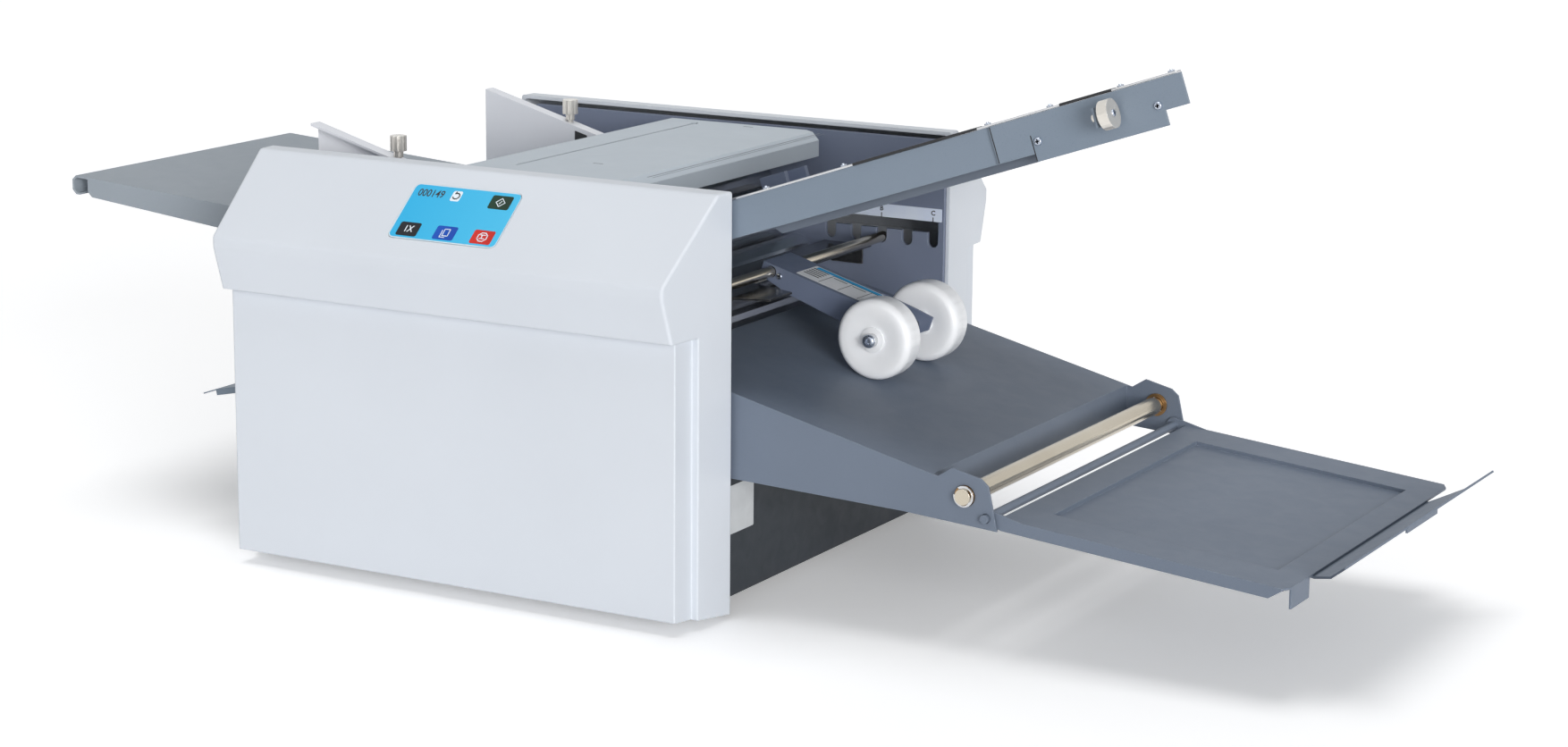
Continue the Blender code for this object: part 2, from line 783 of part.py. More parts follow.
def build_screen(materials, cover, slant):
    outline = rounded_rectangle(SCREEN_WIDTH / 2, SCREEN_HEIGHT / 2, SCREEN_CORNER)
    mesh = bmesh.new()
    prism(mesh, outline, "Z", SCREEN_PROUD - SCREEN_THICKNESS, SCREEN_PROUD)
    add_piece("touch_screen", mesh, materials["screen"], slant)

    opening = bmesh.new()
    wide = SCREEN_WIDTH / 2 + FIT_GAP
    high = SCREEN_HEIGHT / 2 + FIT_GAP
    prism(opening, rounded_rectangle(wide, high, SCREEN_CORNER + FIT_GAP), "Z", -SCREEN_THICKNESS, OVERRUN)
    opening.transform(Matrix.Translation(slant_place()) @ Matrix.Rotation(slant_angle(), 4, "X"))
    cut(cover, opening, "screen_opening")

    board = bmesh.new()
    top = SCREEN_PROUD - SCREEN_THICKNESS - FIT_GAP
    box(board, (-BOARD_WIDTH / 2, BOARD_WIDTH / 2), (-BOARD_HEIGHT / 2, BOARD_HEIGHT / 2),
        (top - BOARD_THICKNESS, top))
    add_piece("control_board", board, materials["board"], slant)


def notched_slot():
    """Outline of the frames' slot: a long opening with round seats along its foot."""
    radius = NOTCH_RADIUS
    last = NOTCH_FIRST_X + (NOTCH_COUNT - 1) * NOTCH_PITCH
    points = [(last + radius, NOTCH_SLOT_TOP), (NOTCH_FIRST_X - radius, NOTCH_SLOT_TOP)]
    for index in range(NOTCH_COUNT):
        centre = (NOTCH_FIRST_X + index * NOTCH_PITCH, NOTCH_SEAT_Z)
        points.append((centre[0] - radius, NOTCH_SLOT_BOTTOM))
        points += arc(centre, radius, math.pi, 2 * math.pi, 6)
        points.append((centre[0] + radius, NOTCH_SLOT_BOTTOM))
    return points


def frame_holes(front):
    """Solids that cut the slot and the shaft holes of one side frame."""
    mesh = bmesh.new()
    low = -FRAME_OUTER - OVERRUN if front else FRAME_INNER - OVERRUN
    high = -FRAME_INNER + OVERRUN if front else FRAME_OUTER + OVERRUN
    prism(mesh, notched_slot(), "Y", low, high)
    holes = [(place, ROLLER_SHAFT) for place in roller_places()]
    holes.append((feed_place(), FEED_SHAFT))
    holes.append(((TIE_BAR_X, TIE_BAR_Z), TIE_BAR_RADIUS))
    holes.append(((LID_PIVOT_X, LID_PIVOT_Z), LID_PIN_RADIUS))
    if front:
        holes.append(((MOTOR_X, MOTOR_Z), MOTOR_BOSS_RADIUS))
    for centre, radius in holes:
        cylinder(mesh, "Y", centre, radius + SHAFT_PLAY, low, high, SMALL_SIDES)
    return mesh


def build_frame(name, side, material, root):
    outline = [(-FRAME_LEFT, FRAME_FOOT), (FRAME_RIGHT, FRAME_FOOT), (FRAME_RIGHT, FRAME_TOP),
               (-FRAME_LEFT + FRAME_CORNER, FRAME_TOP), (-FRAME_LEFT, FRAME_TOP - FRAME_CORNER)]
    mesh = bmesh.new()
    low, high = sorted((side * FRAME_INNER, side * FRAME_OUTER))
    prism(mesh, outline, "Y", low, high)
    frame = add_piece(name, mesh, material, root)
    cut(frame, frame_holes(side < 0), "openings")
    return frame


def build_base_pan(material, root):
    """Folded sheet: a floor under both frames with a wall at each end between them."""
    mesh = bmesh.new()
    path = [(-PAN_LEFT, PAN_WALL_TOP), (-PAN_LEFT, FOOT_HEIGHT), (PAN_RIGHT, FOOT_HEIGHT), (PAN_RIGHT, PAN_WALL_TOP)]
    half = FRAME_INNER - FIT_GAP
    prism(mesh, sheet_strip(path, SHEET), "Y", -half, half)
    pan = add_piece("base_pan", mesh, material, root)
    wings = bmesh.new()
    reach = FRAME_OUTER
    for side in (-1, 1):
        low, high = sorted((side * (half - SHEET), side * reach))
        box(wings, (-PAN_LEFT, PAN_RIGHT), (low, high), (FOOT_HEIGHT, FOOT_HEIGHT + SHEET))
    join(pan, wings, "wings")
    openings = bmesh.new()
    left = (-PAN_LEFT - OVERRUN, -PAN_LEFT + SHEET + OVERRUN)
    for centre, half_width, half_height in (
            (INLET_Y, INLET_HALF_WIDTH, INLET_HALF_HEIGHT),
            (SWITCH_Y, SWITCH_HALF_WIDTH, SWITCH_HALF_HEIGHT)):
        wide = half_width + FIT_GAP
        high = half_height + FIT_GAP
        box(openings, left, (centre - wide, centre + wide), (INLET_Z - high, INLET_Z + high))
    cut(pan, openings, "inlet_openings")
    return pan


def build_feet(material, root):
    places = {
        "front_left": (-1, -1), "front_right": (1, -1),
        "rear_left": (-1, 1), "rear_right": (1, 1)}
    for label, (along, across) in places.items():
        edge = PAN_LEFT if along < 0 else PAN_RIGHT
        place = (along * (edge - FOOT_INSET_X), across * (FRAME_INNER - FOOT_INSET_Y), 0.0)
        mesh = bmesh.new()
        top = FOOT_HEIGHT - FIT_GAP
        profile = [(0.0, 0.0), (0.0, FOOT_TOP_RADIUS), (FOOT_HEIGHT / 4, FOOT_RADIUS),
                   (top, FOOT_TOP_RADIUS), (top, 0.0)]
        turned(mesh, profile, ROUND_SIDES // 2, "Z")
        add_piece("foot_" + label, mesh, material, root, place, smooth=False)


def build_power_parts(materials, root):
    inlet = bmesh.new()
    outer = -PAN_LEFT - INLET_FLANGE - FIT_GAP
    box(inlet, (-PAN_LEFT - FIT_GAP - INLET_FLANGE, -PAN_LEFT - FIT_GAP),
        (INLET_Y - INLET_HALF_WIDTH - INLET_FLANGE, INLET_Y + INLET_HALF_WIDTH + INLET_FLANGE),
        (INLET_Z - INLET_HALF_HEIGHT - INLET_FLANGE, INLET_Z + INLET_HALF_HEIGHT + INLET_FLANGE))
    piece = add_piece("power_inlet", inlet, materials["black"], root)
    body = bmesh.new()
    box(body, (outer + INLET_FLANGE / 2, outer + INLET_DEPTH),
        (INLET_Y - INLET_HALF_WIDTH, INLET_Y + INLET_HALF_WIDTH),
        (INLET_Z - INLET_HALF_HEIGHT, INLET_Z + INLET_HALF_HEIGHT))
    join(piece, body, "body")
    well = bmesh.new()
    box(well, (outer - OVERRUN, outer + INLET_DEPTH - INLET_WALL),
        (INLET_Y - INLET_HALF_WIDTH + INLET_WALL, INLET_Y + INLET_HALF_WIDTH - INLET_WALL),
        (INLET_Z - INLET_HALF_HEIGHT + INLET_WALL, INLET_Z + INLET_HALF_HEIGHT - INLET_WALL))
    cut(piece, well, "well")
    prongs = bmesh.new()
    for index in (-1, 0, 1):
        centre = INLET_Y + index * PRONG_PITCH * (1 - PRONG_HALF_WIDTH / PRONG_PITCH)
        box(prongs, (outer + INLET_WALL, outer + INLET_DEPTH - INLET_WALL / 2),
            (centre - PRONG_HALF_WIDTH, centre + PRONG_HALF_WIDTH),
            (INLET_Z - PRONG_HALF_HEIGHT, INLET_Z + PRONG_HALF_HEIGHT))
    join(piece, prongs, "prongs")

    rocker = bmesh.new()
    half = SWITCH_HALF_HEIGHT - SWITCH_PLAY
    outline = [(-SWITCH_BULGE, -half), (SWITCH_DEPTH, -half * SWITCH_FOOT_SHARE),
               (SWITCH_DEPTH, half * SWITCH_FOOT_SHARE), (-SWITCH_BULGE, half), (0.0, 0.0)]
    prism(rocker, outline, "Y", -SWITCH_HALF_WIDTH + FIT_GAP, SWITCH_HALF_WIDTH - FIT_GAP)
    add_piece("power_switch", rocker, materials["black"], root, (-PAN_LEFT, SWITCH_Y, INLET_Z))


def roller_sections(index):
    """Stepped sections of one fold roller along Y."""
    front = -FRAME_OUTER - GEAR_OFFSET
    gear_end = front - GEAR_WIDTH
    rear = FRAME_OUTER + GEAR_OFFSET
    sections = []
    if index == 3:
        sections.append((gear_end - PULLEY_STEP - PULLEY_WIDTH, gear_end - PULLEY_STEP, DRIVEN_PULLEY_RADIUS))
    sections.append((gear_end - PULLEY_STEP, -ROLLER_HALF, ROLLER_SHAFT))
    sections.append((-ROLLER_HALF, ROLLER_HALF, ROLLER_RADIUS))
    if index == 1:
        sections.append((ROLLER_HALF, rear, ROLLER_SHAFT))
        sections.append((rear, rear + PULLEY_WIDTH, FEED_PULLEY_RADIUS))
    else:
        sections.append((ROLLER_HALF, FRAME_OUTER + FIT_GAP, ROLLER_SHAFT))
    return sections


def gear_phases():
    """Starting angles that put each gear's teeth in the gaps of its neighbour."""
    places = roller_places()
    step = 2 * math.pi / GEAR_TEETH
    phases = [0.0]
    for (x0, z0), (x1, z1) in zip(places, places[1:]):
        heading = math.atan2(z1 - z0, x1 - x0)
        lead = (heading - phases[-1]) / step
        phases.append(heading + math.pi + (lead + 0.5) * step)
    return phases


def build_fold_rollers(material, root):
    for index, (place, phase) in enumerate(zip(roller_places(), gear_phases())):
        mesh = bmesh.new()
        turned(mesh, stepped(roller_sections(index)), ROUND_SIDES)
        x, z = place
        roller = add_piece("fold_roller_%d" % (index + 1), mesh, material, root, (x, 0.0, z))
        gear = bmesh.new()
        front = -FRAME_OUTER - GEAR_OFFSET
        prism(gear, gear_outline(phase), "Y", front - GEAR_WIDTH, front)
        join(roller, gear, "gear")


def build_feed_roller(materials, root):
    x, z = feed_place()
    rear = FRAME_OUTER + GEAR_OFFSET
    core = FEED_RADIUS - FEED_TYRE_WALL
    half = FEED_TYRE_WIDTH / 2
    sections = [(-FRAME_OUTER - FIT_GAP, -FEED_TYRE_PITCH - half, FEED_SHAFT)]
    for index in (-1, 0, 1):
        middle = index * FEED_TYRE_PITCH
        if index > -1:
            sections.append((middle - FEED_TYRE_PITCH + half, middle - half, FEED_SHAFT))
        sections.append((middle - half, middle + half, core))
    sections.append((FEED_TYRE_PITCH + half, rear, FEED_SHAFT))
    sections.append((rear, rear + PULLEY_WIDTH, FEED_PULLEY_RADIUS))
    mesh = bmesh.new()
    turned(mesh, stepped(sections), ROUND_SIDES)
    add_piece("feed_roller", mesh, materials["steel"], root, (x, 0.0, z))
    for index, label in ((-1, "front"), (0, "middle"), (1, "rear")):
        middle = index * FEED_TYRE_PITCH
        tyre = bmesh.new()
        inner = core + FIT_GAP
        band = half - FIT_GAP
        profile = [(middle - band, inner), (middle - band, FEED_RADIUS), (middle + band, FEED_RADIUS),
                   (middle + band, inner), (middle - band, inner)]
        turned(tyre, profile, ROUND_SIDES)
        add_piece("feed_tyre_" + label, tyre, materials["rubber"], root, (x, 0.0, z))


def build_drive(materials, root):
    front = -FRAME_INNER + FIT_GAP
    mesh = bmesh.new()
    pulley_front = -FRAME_OUTER - GEAR_OFFSET - GEAR_WIDTH - PULLEY_STEP - PULLEY_WIDTH
    sections = [(pulley_front, -FRAME_OUTER - FIT_GAP, MOTOR_SHAFT),
                (-FRAME_OUTER - FIT_GAP, front, MOTOR_BOSS_RADIUS),
                (front, front + MOTOR_LENGTH, MOTOR_RADIUS)]
    turned(mesh, stepped(sections), ROUND_SIDES)
    add_piece("motor", mesh, materials["dark"], root, (MOTOR_X, 0.0, MOTOR_Z))

    pulley = bmesh.new()
    bore = MOTOR_SHAFT + FIT_GAP
    low = pulley_front
    high = pulley_front + PULLEY_WIDTH
    profile = [(low, bore), (low, MOTOR_PULLEY_RADIUS), (high, MOTOR_PULLEY_RADIUS), (high, bore), (low, bore)]
    turned(pulley, profile, ROUND_SIDES)
    add_piece("motor_pulley", pulley, materials["steel"], root, (MOTOR_X, 0.0, MOTOR_Z))

    fourth = roller_places()[3]
    second = roller_places()[1]
    rear = FRAME_OUTER + GEAR_OFFSET
    belts = (("drive_belt", (MOTOR_X, MOTOR_Z), MOTOR_PULLEY_RADIUS, fourth, DRIVEN_PULLEY_RADIUS, low),
             ("feed_belt", feed_place(), FEED_PULLEY_RADIUS, second, FEED_PULLEY_RADIUS, rear))
    for name, first, first_radius, last, last_radius, start in belts:
        inner = belt_outline(first, first_radius + FIT_GAP, last, last_radius + FIT_GAP)
        outer = belt_outline(first, first_radius + FIT_GAP + BELT_THICKNESS,
                             last, last_radius + FIT_GAP + BELT_THICKNESS)
        belt = bmesh.new()
        margin = (PULLEY_WIDTH - BELT_WIDTH) / 2
        ring(belt, outer, inner, "Y", start + margin, start + margin + BELT_WIDTH)
        add_piece(name, belt, materials["rubber"], root)


def build_tie_bar(material, root):
    mesh = bmesh.new()
    cylinder(mesh, "Y", (TIE_BAR_X, TIE_BAR_Z), TIE_BAR_RADIUS, -FRAME_OUTER, FRAME_OUTER, SMALL_SIDES)
    add_piece("tie_bar", mesh, material, root)


def build_hopper_table(material, root):
    """Sloping sheet with folded sides, tyre windows and slots for the guide clamps."""
    def band(x, drop):
        return (x, table_z(x) - drop)

    outline = [band(TABLE_LEFT, 0.0), band(TABLE_LEFT, TABLE_FLANGE), band(TABLE_RIGHT, TABLE_FLANGE),
               band(TABLE_RIGHT, 0.0)]
    mesh = bmesh.new()
    prism(mesh, outline, "Y", -TABLE_HALF, TABLE_HALF)
    table = add_piece("hopper_table", mesh, material, root)
    under = bmesh.new()
    inner = TABLE_HALF - SHEET
    deep = TABLE_FLANGE + OVERRUN
    left = TABLE_LEFT - OVERRUN
    right = TABLE_RIGHT + OVERRUN
    prism(under, [band(left, SHEET), band(left, deep), band(right, deep), band(right, SHEET)], "Y", -inner, inner)
    cut(table, under, "underside")
    openings = bmesh.new()
    low = table_z(TABLE_RIGHT) - OVERRUN
    high = TABLE_LEFT_Z + OVERRUN
    depth = FEED_RADIUS - FEED_PROUD - SHEET
    reach = math.sqrt(FEED_RADIUS ** 2 - depth ** 2) + TYRE_WINDOW_PLAY
    half = FEED_TYRE_WIDTH / 2 + TYRE_WINDOW_PLAY
    for index in (-1, 0, 1):
        middle = index * FEED_TYRE_PITCH
        box(openings, (FEED_X - reach, FEED_X + reach), (middle - half, middle + half), (low, high))
    slot = (THUMB_X - THUMB_COLLAR - SLOT_PLAY, CLAMP_LEFT + CLAMP_WIDTH + SLOT_PLAY)
    inside = PAPER_HALF_WIDTH + GUIDE_GAP - GUIDE_INWARD - SLOT_PLAY
    outside = PAPER_HALF_WIDTH + GUIDE_GAP + GUIDE_OUTWARD + CLAMP_FOOT_WIDTH + SLOT_PLAY
    for side in (-1, 1):
        near, far = sorted((side * inside, side * outside))
        box(openings, slot, (near, far), (table_z(slot[1]) - SHEET - OVERRUN, high))
    cut(table, openings, "openings")
    ends = bmesh.new()
    for side in (-1, 1):
        near, far = sorted((side * (TABLE_HALF - OVERRUN), side * (TABLE_HALF + OVERRUN)))
        cylinder(ends, "Y", (TIE_BAR_X, TIE_BAR_Z), TIE_BAR_RADIUS + FIT_GAP, near, far, SMALL_SIDES)
    cut(table, ends, "bar_holes")


def build_separator(materials, root):
    half = FRAME_INNER - FIT_GAP
    post = LID_TOP - LID_WALL - FIT_GAP
    outline = [(-half, HOLDER_BOTTOM), (half, HOLDER_BOTTOM), (half, HOLDER_SHOULDER),
               (HOLDER_POST_HALF, HOLDER_SHOULDER), (HOLDER_POST_HALF, post),
               (-HOLDER_POST_HALF, post), (-HOLDER_POST_HALF, HOLDER_SHOULDER), (-half, HOLDER_SHOULDER)]
    holder = bmesh.new()
    prism(holder, outline, "X", HOLDER_LEFT, HOLDER_RIGHT)
    add_piece("separator_holder", holder, materials["black"], root)

    pad = bmesh.new()
    top = HOLDER_BOTTOM - FIT_GAP
    foot = feed_place()[1] + FEED_RADIUS + PAD_FOOT_GAP
    lead = PAD_LENGTH / 3
    profile = [(HOLDER_LEFT, top), (HOLDER_LEFT, foot + lead), (HOLDER_LEFT + lead, foot),
               (HOLDER_LEFT + PAD_LENGTH, foot), (HOLDER_LEFT + PAD_LENGTH, top)]
    prism(pad, profile, "Y", -PAD_HALF_WIDTH, PAD_HALF_WIDTH)
    add_piece("separator_pad", pad, materials["rubber"], root)


def knurled_outline(radius):
    points = []
    count = 2 * KNURL_COUNT
    for index in range(count):
        reach = radius if index % 2 else radius - KNURL_DEPTH
        angle = 2 * math.pi * index / count
        points.append((reach * math.cos(angle), reach * math.sin(angle)))
    return points


def guide_outline(left, right):
    foot = GUIDE_LIFT
    return [(left, table_z(left) + foot), (right, table_z(right) + foot),
            (right, guide_top_z(right)), (left, guide_top_z(left))]


def build_side_guide(label, side, materials, root):
    """Paper guide with its clamp strap and thumb knob; side is -1 at the front and 1 at the rear."""
    inner = PAPER_HALF_WIDTH + GUIDE_GAP
    outer = inner + GUIDE_WALL
    edge = inner + GUIDE_FLANGE
    web = bmesh.new()
    near, far = sorted((side * inner, side * outer))
    prism(web, guide_outline(GUIDE_LEFT, GUIDE_RIGHT), "Y", near, far)
    guide = add_piece(label + "_side_guide", web, materials["guide"], root)
    flange = bmesh.new()
    drop = GUIDE_WALL
    outline = [(GUIDE_LEFT, guide_top_z(GUIDE_LEFT)), (GUIDE_RIGHT, guide_top_z(GUIDE_RIGHT)),
               (GUIDE_RIGHT, guide_top_z(GUIDE_RIGHT) - drop), (GUIDE_LEFT, guide_top_z(GUIDE_LEFT) - drop)]
    near, far = sorted((side * inner, side * edge))
    prism(flange, outline, "Y", near, far)
    join(guide, flange, "flange")

    strap_right = CLAMP_LEFT + CLAMP_WIDTH
    top_left = guide_top_z(CLAMP_LEFT) - CLAMP_TOP_DROP
    top_right = guide_top_z(strap_right) - CLAMP_TOP_DROP
    window = bmesh.new()
    near, far = sorted((side * (inner - OVERRUN), side * (outer + OVERRUN)))
    outline = [(CLAMP_LEFT - FIT_GAP, TIE_BAR_Z - OVERRUN), (strap_right + FIT_GAP, TIE_BAR_Z - OVERRUN),
               (strap_right + FIT_GAP, top_right + FIT_GAP), (CLAMP_LEFT - FIT_GAP, top_left + FIT_GAP)]
    prism(window, outline, "Y", near, far)
    cut(guide, window, "window")
    stem_y = side * (outer + edge) / 2
    hole = bmesh.new()
    cylinder(hole, "Z", (THUMB_X, stem_y), THUMB_STEM + SHAFT_PLAY, table_z(THUMB_X), GUIDE_TOP_Z, SMALL_SIDES)
    cut(guide, hole, "stem_hole")

    foot_left = THUMB_X - THUMB_COLLAR - FIT_GAP
    foot_top_left = table_z(foot_left) - SHEET - FIT_GAP
    foot_top_right = table_z(strap_right) - SHEET - FIT_GAP
    strap = bmesh.new()
    near, far = sorted((side * inner, side * outer))
    outline = [(CLAMP_LEFT, foot_top_right - CLAMP_FOOT_DEPTH), (strap_right, foot_top_right - CLAMP_FOOT_DEPTH),
               (strap_right, top_right), (CLAMP_LEFT, top_left)]
    prism(strap, outline, "Y", near, far)
    clamp = add_piece(label + "_guide_clamp", strap, materials["black"], root)
    foot = bmesh.new()
    near, far = sorted((side * inner, side * (outer + CLAMP_FOOT_WIDTH)))
    outline = [(foot_left, foot_top_left - CLAMP_FOOT_DEPTH), (strap_right, foot_top_right - CLAMP_FOOT_DEPTH),
               (strap_right, foot_top_right), (foot_left, foot_top_left)]
    prism(foot, outline, "Y", near, far)
    join(clamp, foot, "foot")
    bore = bmesh.new()
    cylinder(bore, "Z", (THUMB_X, stem_y), THUMB_STEM + SHAFT_PLAY, TIE_BAR_Z - OVERRUN, GUIDE_TOP_Z, SMALL_SIDES)
    cut(clamp, bore, "bore")

    seat = guide_top_z(THUMB_X - THUMB_COLLAR) + FIT_GAP
    stem_foot = table_z(THUMB_X) - SHEET - CLAMP_FOOT_DEPTH
    neck_top = seat + THUMB_NECK_HEIGHT
    turned_part = bmesh.new()
    cylinder(turned_part, "Z", (0.0, 0.0), THUMB_STEM, stem_foot, neck_top, SMALL_SIDES)
    knob = add_piece(label + "_guide_knob", turned_part, materials["steel"], root, (THUMB_X, stem_y, 0.0))
    collar = bmesh.new()
    cylinder(collar, "Z", (0.0, 0.0), THUMB_COLLAR, seat, neck_top, SMALL_SIDES)
    join(knob, collar, "collar")
    head = bmesh.new()
    prism(head, knurled_outline(THUMB_HEAD), "Z", neck_top - FIT_GAP, neck_top + THUMB_HEAD_HEIGHT)
    join(knob, head, "head")


def build_infeed_tray(material, root):
    """Sheet with a rolled outer end, folded sides and two hooks on the tie bar."""
    roll = TRAY_ROLL_LIP / 2
    left_z = infeed_z(TRAY_LEFT)
    path = [(TRAY_RIGHT, infeed_z(TRAY_RIGHT)), (TRAY_LEFT + roll, infeed_z(TRAY_LEFT + roll)),
            (TRAY_LEFT, left_z - roll), (TRAY_LEFT, left_z - TRAY_ROLL_DROP + roll),
            (TRAY_LEFT + roll, left_z - TRAY_ROLL_DROP), (TRAY_LEFT + TRAY_ROLL_LIP, left_z - TRAY_ROLL_DROP)]
    mesh = bmesh.new()
    prism(mesh, sheet_strip(path, SHEET), "Y", -TRAY_HALF, TRAY_HALF)
    tray = add_piece("infeed_tray", mesh, material, root)
    start = TRAY_LEFT + TRAY_ROLL_LENGTH
    top = infeed_z(start)
    end = infeed_z(TRAY_RIGHT)
    hook_top = TIE_BAR_Z + 2 * TIE_BAR_RADIUS - HOOK_TOP_DROP
    outline = [(start, top), (start, top - TRAY_FLANGE_LEFT + TRAY_CHAMFER),
               (start + TRAY_CHAMFER, top - TRAY_FLANGE_LEFT), (TRAY_RIGHT, end - TRAY_FLANGE_RIGHT),
               (TRAY_HOOK_RIGHT, TIE_BAR_Z - TIE_BAR_RADIUS), (TRAY_HOOK_RIGHT, hook_top),
               (TRAY_RIGHT, hook_top), (TRAY_RIGHT, end)]
    flanges = bmesh.new()
    holes = bmesh.new()
    for side in (-1, 1):
        near, far = sorted((side * (TRAY_HALF - SHEET), side * TRAY_HALF))
        prism(flanges, outline, "Y", near, far)
        near -= OVERRUN
        far += OVERRUN
        reach = TIE_BAR_RADIUS + FIT_GAP
        bend = arc((TIE_BAR_X, TIE_BAR_Z), reach, 0.0, math.pi, SMALL_SIDES // 2)
        foot = TIE_BAR_Z - TRAY_FLANGE_RIGHT
        prism(holes, bend + [(TIE_BAR_X - reach, foot), (TIE_BAR_X + reach, foot)], "Y", near, far)
    join(tray, flanges, "flanges")
    cut(tray, holes, "hook_openings")


def build_lid(material, root):
    """Pressed lid, open below, with a bevelled edge, a long slot and two pivot pins."""
    end = LID_RIGHT + LID_BEVEL_RUN
    brow = LID_TOP - LID_BEVEL_DROP
    outline = [(LID_LEFT, LID_SKIRT_BOTTOM), (end, LID_SKIRT_BOTTOM), (end, brow), (LID_RIGHT, LID_TOP),
               (LID_LEFT, LID_TOP)]
    mesh = bmesh.new()
    prism(mesh, outline, "Y", -LID_HALF, LID_HALF)
    corners = []
    for edge in mesh.edges:
        first, second = edge.verts
        at_side = min(abs(first.co.y), abs(second.co.y)) > LID_HALF - FIT_GAP and first.co.y * second.co.y > 0
        if at_side and min(first.co.x, second.co.x) > LID_RIGHT - FIT_GAP:
            corners.append(edge)
    bmesh.ops.bevel(mesh, geom=corners, offset=LID_CHAMFER, segments=1, affect="EDGES")
    below = LID_SKIRT_BOTTOM + FIT_GAP
    foot = [face for face in mesh.faces if max(v.co.z for v in face.verts) < below]
    bmesh.ops.delete(mesh, geom=foot, context="FACES_ONLY")
    turn_outward(mesh, Vector((0.0, 0.0, 1.0)))
    lid = add_piece("top_cover", mesh, material, root, shell=True)
    wall = lid.modifiers.new("wall", "SOLIDIFY")
    wall.thickness = LID_WALL
    wall.offset = -1.0
    wall.use_even_offset = True
    pins = bmesh.new()
    for side in (-1, 1):
        near, far = sorted((side * (LID_HALF - LID_WALL / 2), side * FRAME_OUTER))
        cylinder(pins, "Y", (LID_PIVOT_X, LID_PIVOT_Z), LID_PIN_RADIUS, near, far, SMALL_SIDES)
    join(lid, pins, "pins")
    slot = bmesh.new()
    half = LID_SLOT_WIDTH / 2
    tip = LID_SLOT_END - LID_SLOT_TIP
    outline = [(LID_SLOT_X - half, LID_SLOT_START), (LID_SLOT_X + half, LID_SLOT_START), (LID_SLOT_X + half, tip),
               (LID_SLOT_X + LID_SLOT_TIP / 2, tip), (LID_SLOT_X, LID_SLOT_END),
               (LID_SLOT_X - LID_SLOT_TIP / 2, tip), (LID_SLOT_X - half, tip)]
    prism(slot, outline, "Z", LID_TOP - LID_WALL - OVERRUN / 2, LID_TOP + OVERRUN)
    cut(lid, slot, "slot")


def build_deck(material, fold):
    """Deck with folded flanges; the front flange runs on as a tongue behind the knob's arm."""
    deck_top = -POCKET_GAP / 2
    outline = [(PLATE_START, PLATE_FLANGE_FOOT), (PLATE_JOINT, PLATE_FLANGE_FOOT), (PLATE_JOINT, PLATE_NARROW),
               (PLATE_TONGUE_END, PLATE_NARROW), (PLATE_TONGUE_END, PLATE_TOP), (PLATE_START, PLATE_TOP)]
    mesh = bmesh.new()
    prism(mesh, outline, "Y", -PLATE_HALF, PLATE_HALF)
    plate = add_piece("upper_fold_plate", mesh, material, fold)
    inner = PLATE_HALF - SHEET
    low = PLATE_FLANGE_FOOT - OVERRUN
    high = PLATE_TOP + OVERRUN
    ends = (PLATE_START - OVERRUN, PLATE_TONGUE_END + OVERRUN)
    inside = bmesh.new()
    box(inside, ends, (-inner, inner), (deck_top, high))
    box(inside, ends, (-inner, inner), (low, deck_top - SHEET))
    cut(plate, inside, "inside")
    beyond = bmesh.new()
    box(beyond, (PLATE_DECK_END, ends[1]), (-inner, PLATE_HALF + OVERRUN), (low, high))
    cut(plate, beyond, "beyond_deck")
    relief = bmesh.new()
    box(relief, (PLATE_RELIEF_START, ends[1]), (0.0, PLATE_HALF + OVERRUN), (low, PLATE_NARROW))
    cut(plate, relief, "rear_relief")


def build_channel(material, fold):
    """Stiffening channel under the deck; its front wall is longer than its floor."""
    top = -POCKET_GAP / 2 - SHEET - FIT_GAP
    slope = top - CHANNEL_FOOT
    outline = [(CHANNEL_START, top), (CHANNEL_START + slope, CHANNEL_FOOT), (CHANNEL_END, CHANNEL_FOOT),
               (CHANNEL_END, top)]
    channel = bmesh.new()
    prism(channel, outline, "Y", -CHANNEL_HALF, CHANNEL_HALF)
    piece = add_piece("fold_plate_channel", channel, material, fold)
    inner = CHANNEL_HALF - SHEET
    hollow_end = CHANNEL_FLOOR_END - SHEET
    outline = [(CHANNEL_START + 2 * SHEET, top + OVERRUN), (CHANNEL_START + 2 * SHEET, top),
               (CHANNEL_START + slope + SHEET, CHANNEL_FOOT + SHEET), (hollow_end, CHANNEL_FOOT + SHEET),
               (hollow_end, top + OVERRUN)]
    hollow = bmesh.new()
    prism(hollow, outline, "Y", -inner, inner)
    cut(piece, hollow, "hollow")
    beyond = bmesh.new()
    box(beyond, (CHANNEL_FLOOR_END, CHANNEL_END + OVERRUN), (-inner, CHANNEL_HALF + OVERRUN),
        (CHANNEL_FOOT - OVERRUN, top + OVERRUN))
    cut(piece, beyond, "beyond_floor")


def build_grid(material, fold):
    """Bright tray over the deck with rows of windows."""
    low = POCKET_GAP / 2
    half = PLATE_HALF - SHEET - FIT_GAP
    mesh = bmesh.new()
    box(mesh, (PLATE_START, PLATE_DECK_END), (-half, half), (low, PLATE_TOP))
    piece = add_piece("fold_plate_grid", mesh, material, fold)
    tray = bmesh.new()
    inner = half - SHEET
    box(tray, (PLATE_START - OVERRUN, PLATE_DECK_END + OVERRUN), (-inner, inner),
        (low + THIN_SHEET, PLATE_TOP + OVERRUN))
    cut(piece, tray, "tray")
    windows = bmesh.new()
    clear = 2 * (inner - GRID_RIB) - (GRID_BARS - 1) * GRID_RIB
    wide = clear / GRID_BARS
    for row in range(GRID_ROWS):
        start = GRID_WINDOW_START + row * GRID_WINDOW_PITCH
        for column in range(GRID_BARS):
            left = GRID_RIB - inner + column * (wide + GRID_RIB)
            box(windows, (start, start + GRID_WINDOW_LENGTH), (left, left + wide),
                (low - OVERRUN / 2, low + OVERRUN))
    cut(piece, windows, "windows")


